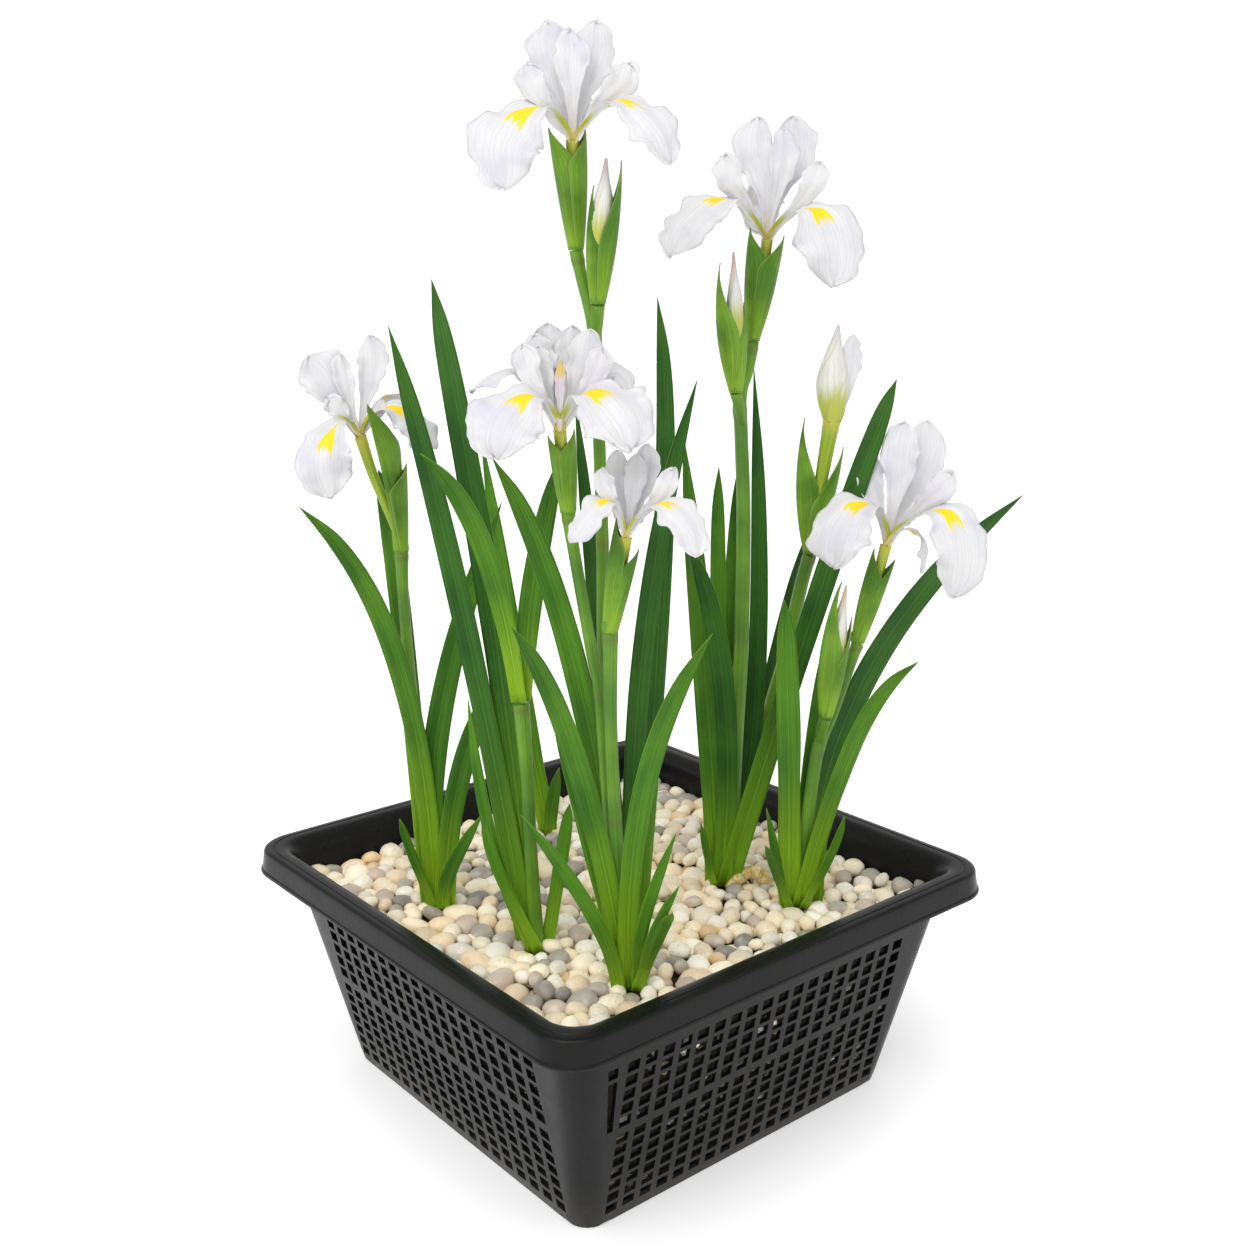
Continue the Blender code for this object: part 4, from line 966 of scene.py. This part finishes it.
# Each petal: its kind, the points of its midrib, its greatest width, and the way it faces low down and at its
# end, all as (across, up, toward) from the throat, in millimetres.
FLOWERS = {
    "flower_1": ((-54.2, -42.7, 481), [
        ("fall", [(0, 0, 0), (-5.7, 7.8, 7), (-12.5, 14.6, 14.5), (-22.9, 9.9, 22.5), (-29.2, -1.6, 24.8),
                  (-28.6, -19, 19.5)],
         32, (0.15, 0.9, 0.35), (-0.3, 0.2, 0.93)),
        ("fall", [(0, 0, 0), (6.8, 7.8, 8), (15.1, 15.6, 17), (21.5, 17, 23), (29.7, 11, 30), (36, 3, 33),
                  (39.6, -8.6, 31)],
         22, (-0.15, 0.9, 0.35), (0.35, 0.4, 0.85)),
        ("fall", [(0, 0, 0), (-1, 14, -6), (-1.5, 22.6, -12), (-2, 20, -22), (-2.7, 13, -28),
                  (-2.7, 4, -30)],
         22, (0, 0.7, -0.7), (0, 0.4, -0.9)),
        ("standard", [(0, 0, -1), (-3.4, 15, -3), (-7.4, 29, -5), (-10.4, 40, -6), (-10.8, 52, -7)],
         18, (0.3, 0, 0.95), (-0.25, 0.1, 1)),
        ("standard", [(0, 0, -1), (3.2, 15, -3), (6.8, 29, -5), (9.8, 40, -6), (10.4, 52, -7)],
         17.5, (-0.3, 0, 0.95), (0.25, 0.1, 1)),
        ("standard", [(0, 0, 1), (0, 15, 3), (-0.2, 28, 3), (-0.4, 38, 1), (-0.6, 48, -2)],
         15.5, (0, 0, 1), (0, 0.1, 1)),
        ("arm", [(0, 0, 1), (-5.7, 11, 9), (-11.5, 17, 15), (-16.4, 24.5, 16), (-18.6, 33, 14)],
         11, (0.5, 0.5, 0.7), (0.15, -0.1, 1)),
        ("arm", [(0, 0, 1), (7.8, 12, 10), (15, 19.5, 18), (20.5, 25, 20), (24, 32, 18)],
         12, (-0.5, 0.5, 0.7), (0, -0.1, 1)),
        ("arm", [(0, 0, -1), (0, 10, -5), (0, 18, -9), (0, 25, -12), (0, 32, -13)],
         10, (0, 0.5, -0.7), (0, 0, -1)),
    ]),
    "flower_2": ((80, -27, 440), [
        ("fall", [(0, 0, 0), (-7.7, 10.3, 8.5), (-15.6, 19.3, 17), (-25.9, 19.6, 27), (-36, 12, 33),
                  (-43, 2, 36), (-46, -6.4, 36)],
         27, (0.15, 0.9, 0.35), (-0.35, 0.45, 0.82)),
        ("fall", [(0, 0, 0), (6.8, 7.9, 8), (15.3, 14.8, 18), (23.7, 14.5, 26), (29.8, 4.2, 29),
                  (32.4, -7.9, 28), (31.6, -21.2, 24)],
         34, (-0.15, 0.9, 0.35), (0.2, 0.25, 0.95)),
        ("fall", [(0, 0, 0), (-1, 14, -7), (-2, 23, -14), (-3, 21, -24), (-4, 13, -31), (-4, 4, -33)],
         22, (0, 0.7, -0.7), (0, 0.4, -0.9)),
        ("standard", [(0, 0, -1), (-1, 18.8, -3), (-3.4, 34.5, -5), (-6.6, 48, -6), (-4.6, 62.3, -8)],
         20, (0.3, 0, 0.95), (-0.1, 0.1, 1)),
        ("standard", [(0, 0, -1), (4.4, 18.8, -4), (9.6, 34.5, -7), (14.8, 48, -9), (13.6, 63, -10)],
         20, (-0.3, 0, 0.95), (0.15, 0.1, 1)),
        ("standard", [(0, 0, 1), (2.4, 15, 3), (6, 30, 5), (9.2, 43, 5), (8.2, 56, 2)],
         14, (0.1, 0, 1), (0.25, 0.1, 1)),
        ("arm", [(0, 0, 1), (-4.6, 10.3, 6), (-11.4, 20, 14), (-17.4, 28.5, 18), (-20.4, 42, 17)],
         13, (0.5, 0.5, 0.7), (0.15, -0.1, 1)),
        ("arm", [(0, 0, 1), (6.8, 9.6, 8), (15, 18, 16), (22, 27.2, 20), (26, 38, 19)],
         11, (-0.5, 0.5, 0.7), (0, -0.1, 1)),
        ("arm", [(0, 0, -1), (0, 12, -6), (0, 22, -10), (0, 30, -13), (0, 37, -14)],
         10, (0, 0.5, -0.7), (0, 0, -1)),
    ]),
    "flower_3": ((-106.6, 57.8, 350), [
        ("fall", [(0, 0, 0), (-3.2, 3.6, 4), (-6.5, 7.4, 8), (-11.6, 5.3, 12.5), (-16.6, -4.6, 16),
                  (-17.2, -15.6, 13.5), (-14.7, -27.6, 9)],
         28, (0.15, 0.9, 0.35), (-0.2, 0.2, 0.95)),
        ("fall", [(0, 0, 0), (5, 9.6, 2), (12.7, 14.4, 3), (20.4, 11.8, 1.5), (29, 4.3, -1),
                  (36.5, -4.5, -4)],
         21, (-0.5, 0.7, 0.4), (0.5, 0.5, 0.7)),
        ("fall", [(0, 0, 0), (5, 11, -3), (11, 19.3, -8), (16, 18.6, -14), (20, 12, -18), (21, 4, -20)],
         15, (-0.2, 0.8, -0.2), (0.4, 0.6, -0.5)),
        ("standard", [(0, 0, 0), (-5.9, 10.7, 0), (-11.8, 20.6, 0), (-18, 31, 0), (-24.5, 39.2, 1)],
         24, (0.4, 0.1, 0.9), (0.1, -0.1, 1)),
        ("standard", [(0, 0, 1), (-4.3, 14, 3), (-7.6, 27.2, 4), (-9.8, 40, 3)],
         9.5, (0.3, 0, 1), (0.2, 0, 1)),
        ("standard", [(0, 0, -1), (1.8, 13, -2), (4.7, 26, -3), (6.4, 38.2, -3), (4.2, 49, -3)],
         14, (-0.5, 0, 0.85), (-0.2, 0, 1)),
        ("arm", [(0, 0, 0), (-5.9, 8.6, 4), (-10.4, 14, 6), (-14.8, 18.3, 6)],
         10, (0.2, 0.4, 0.9), (-0.1, -0.1, 1)),
        ("arm", [(0, 0, 0), (5.5, 8, 2), (9, 13, 3), (10.5, 18, 2)],
         6, (-0.4, 0.4, 0.8), (0, 0, 1)),
    ]),
    "flower_4": ((-78.5, -62.5, 362), [
        ("fall", [(0, 0, 0), (-3.4, 6.8, 6), (-8, 13.4, 11), (-15, 14, 16), (-22, 6.6, 21), (-26, -1.8, 23),
                  (-26.6, -10.5, 20)],
         35, (0.15, 0.9, 0.35), (-0.2, 0.35, 0.9)),
        ("fall", [(0, 0, 0), (4.2, 7.4, 6), (8.4, 14.6, 12), (15, 15.6, 18), (22.5, 9.6, 23),
                  (27.6, 1.6, 25), (29, -7.2, 24)],
         33, (-0.15, 0.9, 0.35), (0.2, 0.35, 0.9)),
        ("fall", [(0, 0, 0), (-5.7, 12.9, 0), (-13.2, 22.9, 0), (-21.5, 26.2, -1), (-30.2, 22.5, -2),
                  (-38.5, 17.5, -3)],
         17, (0.3, 0.85, 0.4), (-0.15, 0.9, 0.35)),
        ("fall", [(0, 0, 0), (6.7, 11.3, 0), (15, 20.2, -1), (22, 25.6, -2), (27.6, 22.6, -3),
                  (30.2, 15, -3)],
         16, (-0.3, 0.85, 0.4), (0.5, 0.6, 0.6)),
        ("standard", [(0, 0, -2), (-5, 14, -5), (-8.8, 28, -7), (-10.6, 42, -8)], 16, (0.2, 0, 1),
         (-0.1, 0, 1)),
        ("standard", [(0, 0, -2), (-2, 16, -6), (-4.4, 32, -9), (-4.9, 46.5, -10)], 15, (0, 0, 1),
         (0, 0, 1)),
        ("standard", [(0, 0, -2), (3, 16, -5), (5, 32, -8), (5.4, 45.2, -9)], 14, (0, 0, 1), (0, 0, 1)),
        ("standard", [(0, 0, 0), (5.4, 14, -1), (9.6, 28, -3), (13, 43.6, -4)], 14, (-0.5, 0, 0.85),
         (-0.2, 0, 1)),
        ("standard", [(0, 0, 1), (-4.6, 13, 2), (-8, 26, 1), (-9, 36, 0)], 11, (0.35, 0, 0.95),
         (0.1, 0, 1)),
        ("arm", [(0, 0, 1), (-6.5, 13, 7), (-12.4, 24, 8), (-15.8, 36, 6)], 11, (0.3, 0.3, 0.9),
         (0, -0.1, 1)),
        ("arm", [(0, 0, 1), (8, 12, 7), (14, 22.4, 9), (18.4, 34, 8)], 11, (-0.3, 0.3, 0.9), (0, -0.1, 1)),
        ("hood", [(0, 0, 4), (0.1, 10, 9), (0.2, 20, 11), (0.5, 29.5, 10)], 6.0, (0, 0, 1), (0, 0, 1)),
    ]),
    "flower_5": ((-67, -92, 318), [
        ("fall", [(0, 0, 0), (-2.2, 10, 6), (-5.2, 15.4, 9), (-10, 15.6, 12.6), (-14.8, 10, 15),
                  (-18.5, 3.8, 16), (-22.5, -1, 17)],
         14, (0.15, 0.9, 0.35), (-0.3, 0.4, 0.85)),
        ("fall", [(0, 0, 0), (5.3, 8.6, 8), (12.6, 14.2, 15), (18.4, 13.8, 20), (24.6, 7.3, 24),
                  (28, 0.3, 25), (29, -7.1, 24)],
         18, (-0.15, 0.9, 0.35), (0.3, 0.35, 0.88)),
        ("fall", [(0, 0, 0), (1, 10, -5), (1.5, 17, -9), (1.5, 16, -15), (1, 10, -20), (1, 3, -22)],
         14, (0, 0.7, -0.7), (0, 0.4, -0.9)),
        ("standard", [(0, 0, -1), (-1.7, 15.6, -3), (-3.7, 27, -4), (-3.2, 38, -4)], 9.5, (0.3, 0, 0.95),
         (0.1, 0, 1)),
        ("standard", [(0, 0, -1), (5, 14.2, -3), (9, 27, -4), (9.8, 40.5, -5)], 10.5, (-0.3, 0, 0.95),
         (0, 0, 1)),
        ("standard", [(0, 0, 1), (2.1, 12, 2), (3.9, 23.5, 2), (4.9, 36, 0)], 9.5, (0, 0, 1), (0, 0, 1)),
        ("arm", [(0, 0, 1), (-2.4, 10.7, 6), (-6, 17, 10), (-8.6, 22.8, 11), (-9.6, 29, 10)], 8,
         (0.4, 0.4, 0.8), (0, -0.1, 1)),
        ("arm", [(0, 0, 1), (6.3, 9.8, 7), (12.6, 15.8, 13), (16.6, 22, 15), (20, 29, 15)], 8.5,
         (-0.4, 0.4, 0.8), (0, -0.1, 1)),
        ("arm", [(0, 0, -1), (0, 9, -4), (0, 15, -7), (0, 22, -8)], 7, (0, 0.5, -0.7), (0, 0, -1)),
    ]),
    "flower_6": ((94.7, -98.4, 294), [
        ("fall", [(0, 0, 0), (-2.2, 10.6, 7), (-6, 20, 13), (-14.7, 19.6, 20), (-21.6, 10.6, 25),
                  (-25, 0.5, 25.5), (-24.8, -9.4, 22)],
         30, (0.15, 0.9, 0.35), (-0.25, 0.3, 0.92)),
        ("fall", [(0, 0, 0), (8.1, 10, 10), (20.4, 16.4, 21), (29.2, 15.6, 28), (34.4, 6.2, 30),
                  (35.9, -8.3, 27), (32.7, -24.1, 20)],
         27, (-0.15, 0.9, 0.35), (0.25, 0.2, 0.94)),
        ("fall", [(0, 0, 0), (5, 6.6, -4), (12.6, 8.4, -9), (18.4, 3, -14), (19.7, -5, -16),
                  (17.8, -13.4, -17)],
         13, (-0.2, 0.9, 0), (0.7, 0.3, 0.4)),
        ("standard", [(0, 0, 1), (3, 17, 2), (6.4, 34.6, 1), (7.2, 48.5, 0), (10, 61.4, -2)], 18,
         (0.1, 0, 1), (0, 0, 1)),
        ("standard", [(0, 0, -1), (7.4, 17, -3), (14.4, 32, -6), (20.2, 46, -8), (20.4, 63, -10)], 18,
         (-0.2, 0, 1), (0.1, 0, 1)),
        ("standard", [(0, 0, 0), (-2, 13, 1), (-5.4, 24.5, 0), (-7.6, 34.6, -1), (-6.1, 45.4, -2)], 13,
         (0.3, 0, 0.95), (0, 0, 1)),
        ("arm", [(0, 0, 1), (8.1, 11.9, 9), (17.6, 20.3, 18), (25.4, 26.6, 22), (32, 35, 22)], 12,
         (-0.4, 0.5, 0.75), (0.1, 0, 1)),
        ("arm", [(0, 0, -1), (4, 9, -5), (9, 14, -9), (13, 19, -12)], 8, (-0.1, 0.7, -0.6),
         (0.2, 0.2, -0.9)),
    ]),
}


def flower_axes(throat, point):
    return ACROSS * point[0] + UP * point[1] + (FACING - throat).normalized() * point[2]


def even_line(points):
    """Points a fortieth of the length apart on the smooth line through the given ones."""
    dense = [along(points, i / 60) for i in range(61)]
    runs = [0.0]
    for a, b in zip(dense, dense[1:]):
        runs.append(runs[-1] + (b - a).length)
    line = []
    for step in range(41):
        goal = runs[-1] * step / 40
        i = min(max(i for i, run in enumerate(runs) if run <= goal), 59)
        line.append(dense[i].lerp(dense[i + 1], (goal - runs[i]) / (runs[i + 1] - runs[i])))
    return line


def petal_sheet(bm, throat, kind, points, width, low_face, end_face, seed):
    """A petal along its midrib, its margins cupped, waved, frilled and a little uneven, its end rounded."""
    shape, cups, ruffle, ragged, round_from, turn_from = PETAL_KINDS[kind]
    path = even_line([flower_axes(throat, point) for point in points])
    faces = [flower_axes(throat, low_face), flower_axes(throat, end_face)]

    def point(u, row):
        x, v = u * 2 - 1, 1 - (1 - row) ** ROW_CROWDING
        tangent = (along(path, v + 0.02) - along(path, v - 0.02)).normalized()
        turn = min(max((v - turn_from) / TURN_OVER, 0), 1)
        side = tangent.cross(faces[0].lerp(faces[1], turn * turn * (3 - 2 * turn))).normalized()
        end = max(0.0, v - round_from) / (1 - round_from)
        half = max(along(shape, v) * math.sqrt(max(0.0, 1 - end * end)), 0.01) * width / 2
        blade = min(max((v - BLADE_FROM) / (BLADE_TO - BLADE_FROM), 0), 1)
        edge = 1 + UNEVEN * blade * noise(Vector((seed * 3.1 + math.copysign(4, x), v * 11, 0))) * abs(x)
        wave = math.sin(v * WAVES + seed * 1.9 + math.copysign(1.3, x))
        wave = ruffle * abs(x) ** 1.8 * (wave + WANDER * noise(Vector((x * 2, v * 9, seed))))
        frill = FRILL * math.sin(v * FRILLS + seed + x * 2) * abs(x) ** 4
        fold = FOLD * math.sin(x * FOLDS + seed)
        lift = along(cups, v) * half * x * x + width * blade * (wave + frill + fold)
        fray = ragged * width * noise(Vector((x * 3.4, seed, 1.0))) * end
        middle = throat + along(path, v) + tangent * fray
        return middle + side * (x * half * edge) + side.cross(tangent) * lift

    return sheet(bm, 18, 48, point)


def petal_white(name, kind):
    """Petal: white with fine fanning veins and lilac-grey patches of painted shade, gold in the throat. A
    fall adds its feathered yellow signal at the shoulder and an olive edge along its haft."""
    tree, shader, made = new_material(name)
    uv, u, row = own_uv(tree)
    crowded = math_node(tree, "POWER", math_node(tree, "SUBTRACT", 1.0, row), ROW_CROWDING)
    v, across = math_node(tree, "SUBTRACT", 1.0, crowded), from_middle(tree, u)
    lines = ribs(tree, uv, 28, 0.13, 5.0)
    colour = mix_colour(tree, remap(tree, lines, 0.3, 0.7), (0.63, 0.626, 0.642), (0.725, 0.722, 0.73))
    # Lilac-grey patches laid by noise, darker than the white: a lilac tint with painted shade.
    lilac_shade = remap(tree, noise_node(tree, object_place(tree), 60, 3), 0.45, 0.7, 0, 0.38)
    colour = mix_colour(tree, lilac_shade, colour, (0.52, 0.49, 0.61))
    if kind == "fall":
        haft = math_node(tree, "MULTIPLY", remap(tree, v, 0.32, 0.18), remap(tree, across, 0.08, 0.36))
        colour = mix_colour(tree, haft, colour, (0.42, 0.44, 0.03))
        feather = math_node(tree, "SUBTRACT", lines, 0.5)
        wide, edge = remap(tree, v, 0.26, 0.5, 0.035, 0.16), plus_share(tree, across, feather, 0.3)
        signal = remap(tree, math_node(tree, "SUBTRACT", wide, edge), 0.0, 0.02)
        foot, tip = remap(tree, v, 0.25, 0.29), remap(tree, plus_share(tree, v, feather, 0.26), 0.60, 0.55)
        signal = math_node(tree, "MULTIPLY", math_node(tree, "MULTIPLY", signal, foot), tip)
        colour = mix_colour(tree, signal, colour, (0.93, 0.66, 0.012))
    elif kind == "hood":
        colour = mix_colour(tree, remap(tree, v, 0.4, 0.66, 0, 0.5), colour, (0.52, 0.36, 0.5))
        gold = remap(tree, plus_share(tree, v, lines, 0.2), 0.80, 0.92)
        colour = mix_colour(tree, gold, colour, (0.60, 0.45, 0.17))
    else:
        line = math_node(tree, "MULTIPLY", remap(tree, across, 0.0, 0.1, 0.75, 0),
                         remap(tree, v, 0.45, 0.05))
        colour = mix_colour(tree, line, colour, (0.85, 0.62, 0.22))
    colour = mix_colour(tree, remap(tree, v, 0.16, 0.0, 0, 0.75), colour, (0.80, 0.62, 0.22))
    shader.inputs["Subsurface Weight"].default_value = 0.15
    shader.inputs["Subsurface Radius"].default_value = (0.002, 0.002, 0.0018)
    shader.inputs["Specular IOR Level"].default_value = 0.3
    surface(tree, shader, colour, remap(tree, lines, 0.3, 0.7, 0.5, 0.62), lines, 0.0004, 0.35)
    return made


def olive_tube():
    """Perianth tube: olive green streaked with brown, yellower toward the throat."""
    tree, shader, made = new_material("perianth_tube_olive")
    uv, _, v = own_uv(tree)
    lines = ribs(tree, uv, 16, 0.03, 9.0)
    colour = mix_colour(tree, remap(tree, lines, 0.35, 0.65), (0.18, 0.31, 0.008), (0.32, 0.42, 0.014))
    colour = mix_colour(tree, remap(tree, v, 0.7, 1.0), colour, (0.45, 0.45, 0.05))
    surface(tree, shader, colour, remap(tree, lines, 0.3, 0.7, 0.38, 0.5), lines, 0.0003, 0.4)
    return made


def flowers():
    whites = {kind: petal_white(white, kind) for kind, (white, _) in PETAL_PIECES.items()}
    olive = olive_tube()
    for number, (name, (throat, petals)) in enumerate(FLOWERS.items()):
        throat = Vector(throat)
        for kind, (_, title) in PETAL_PIECES.items():
            alike = [(i, shape) for i, (own_kind, *shape) in enumerate(petals) if own_kind == kind]
            if not alike:
                continue
            bm = new_mesh()
            for i, shape in alike:
                petal_sheet(bm, throat, kind, *shape, number * 11 + i)
            thicken(finish(f"{name}_{title}", bm, [whites[kind]], "petal_white", name), PETAL_THICKNESS)
        foot, low = plug_top(name.replace("flower", "spathe")), throat - Vector((0, 0, 3.5))
        bm = new_mesh()
        line = [foot, foot.lerp(low, 0.33), foot.lerp(low, 0.7), throat + Vector((0, 0, 1))]
        tube(bm, line, TUBE_RADII, 18, 24)
        finish(f"{name}_tube", bm, [olive], "stalk_green", name, outward=True)
    return whites["standard"], olive


STANDARD_WHITE, OLIVE = flowers()

# Half open flower. Its white petals still stand wrapped round each other on their olive tube, with one of
# them come loose at the side.
HALF_OPEN_THROAT = Vector((89.2, -65.3, 354))
HALF_OPEN_LINE = [(0, -2, 0), (0.5, 14, 0), (1, 30, 0), (3.5, 47, 0)]    # across, up and toward, as above
HALF_OPEN_RADII = [3.8, 5.8, 7.3, 7.9, 7.4, 6.0, 4.2, 2.3, 0.7]
HALF_OPEN_TUBE_RADII = [2.6, 3.0, 3.8, 4.4]
LOOSE_PETAL = [(2, 1, -2), (6.5, 9, -1), (9.2, 20, -1), (10.2, 31, -2), (11, 42, -3)]
LOOSE_PETAL_WIDTH = 10
HALF_OPEN_GREEN_TO = 0.3         # share of its length up to which the furled petals are green


def half_open_flower():
    throat, foot = HALF_OPEN_THROAT, plug_top("spathe_7")
    bm = new_mesh()
    line = [foot, foot.lerp(throat, 0.4), foot.lerp(throat, 0.8), throat]
    tube(bm, line, HALF_OPEN_TUBE_RADII, 18, 24)
    finish("flower_7_tube", bm, [OLIVE], "stalk_green", "flower_7", outward=True)
    bm = new_mesh()
    line = [throat + flower_axes(throat, point) for point in HALF_OPEN_LINE]
    furled(bm, line, HALF_OPEN_RADII, 40, 40, 0.4, 0.2)
    white = bud_white("flower_7_white", (0.62, 0.58, 0.62), HALF_OPEN_GREEN_TO)
    finish("flower_7_furled_petals", bm, [white], "petal_white", "flower_7", outward=True)
    bm = new_mesh()
    faces = (0.3, 0, 0.95), (0.35, 0, 0.9)
    petal_sheet(bm, throat, "standard", LOOSE_PETAL, LOOSE_PETAL_WIDTH, *faces, 3)
    loose = finish("flower_7_loose_petals", bm, [STANDARD_WHITE], "petal_white", "flower_7")
    thicken(loose, PETAL_THICKNESS)


half_open_flower()

# Studio: a plain white floor, an even white surround, a broad soft light from the upper left with a smaller
# lamp beside it, and the camera in front of the basket's front corner.
CAMERA_AT = (-0.4569, -0.5599, 0.4389)
CAMERA_RIGHT = (0.768, -0.641, 0.0)
CAMERA_BACK = (-0.620, -0.743, 0.253)
CAMERA_ROLL = -0.0048
FOCAL_LENGTH, SENSOR_WIDTH = 42.02, 36
FLOOR_REACH = 30                 # metres


def floor():
    bm = bmesh.new()
    bmesh.ops.create_grid(bm, x_segments=1, y_segments=1, size=FLOOR_REACH)
    mesh = bpy.data.meshes.new("floor")
    bm.to_mesh(mesh)
    bm.free()
    piece = bpy.data.objects.new("floor", mesh)
    bpy.context.scene.collection.objects.link(piece)
    tree, shader, made = new_material("floor_white")
    white = mix_colour(tree, noise_node(tree, object_place(tree), 3), (0.9, 0.9, 0.9), (0.92, 0.92, 0.92))
    tree.links.new(white, shader.inputs["Base Color"])
    shader.inputs["Roughness"].default_value = 0.8
    shader.inputs["Specular IOR Level"].default_value = 0.1
    shader.inputs["Emission Color"].default_value = (1, 1, 1, 1)
    shader.inputs["Emission Strength"].default_value = 0.3
    mesh.materials.append(made)


def surround():
    """White all round, brightest near the horizon."""
    world = bpy.data.worlds.new("studio")
    bpy.context.scene.world = world
    world.use_nodes = True
    tree = world.node_tree
    direction = add_node(tree, "ShaderNodeTexCoord").outputs["Generated"]
    height = add_node(tree, "ShaderNodeSeparateXYZ", [(0, direction)]).outputs[2]
    background = tree.nodes["Background"]
    tree.links.new(remap(tree, height, 0.2, 0.5, 1.05, 0.6), background.inputs["Strength"])
    background.inputs["Color"].default_value = (1, 1, 1, 1)


def light(name, kind, energy, size, place, direction):
    """A lamp. Its size is an angle in degrees for a sun, and a diameter in metres for an area lamp."""
    data = bpy.data.lights.new(name, kind)
    data.energy = energy
    if kind == "SUN":
        data.angle = math.radians(size)
    else:
        data.shape, data.size = "DISK", size
    lamp = bpy.data.objects.new(name, data)
    lamp.location = place
    lamp.rotation_euler = Vector(direction).to_track_quat("-Z", "Y").to_euler()
    bpy.context.scene.collection.objects.link(lamp)


def camera():
    lens = bpy.data.cameras.new("camera")
    lens.sensor_width = SENSOR_WIDTH
    lens.lens = FOCAL_LENGTH
    lens.clip_start = 0.01
    piece = bpy.data.objects.new("camera", lens)
    right, back = Vector(CAMERA_RIGHT).normalized(), Vector(CAMERA_BACK)
    back = (back - right * back.dot(right)).normalized()
    turn = Matrix((right, back.cross(right), back)).transposed().to_4x4()
    piece.matrix_world = Matrix.Translation(CAMERA_AT) @ turn @ Matrix.Rotation(CAMERA_ROLL, 4, "Z")
    bpy.context.scene.collection.objects.link(piece)
    bpy.context.scene.camera = piece


floor()
surround()
light("key", "SUN", 1.65, 70, (0, 0, 0), (0.62, 0.32, -1.25))
light("front_lamp", "AREA", 1.2, 0.35, (-0.95, -0.45, 1.2), (0.95, 0.45, -1.0))
camera()
bpy.context.scene.view_settings.view_transform = "Standard"

bpy.context.view_layer.update()
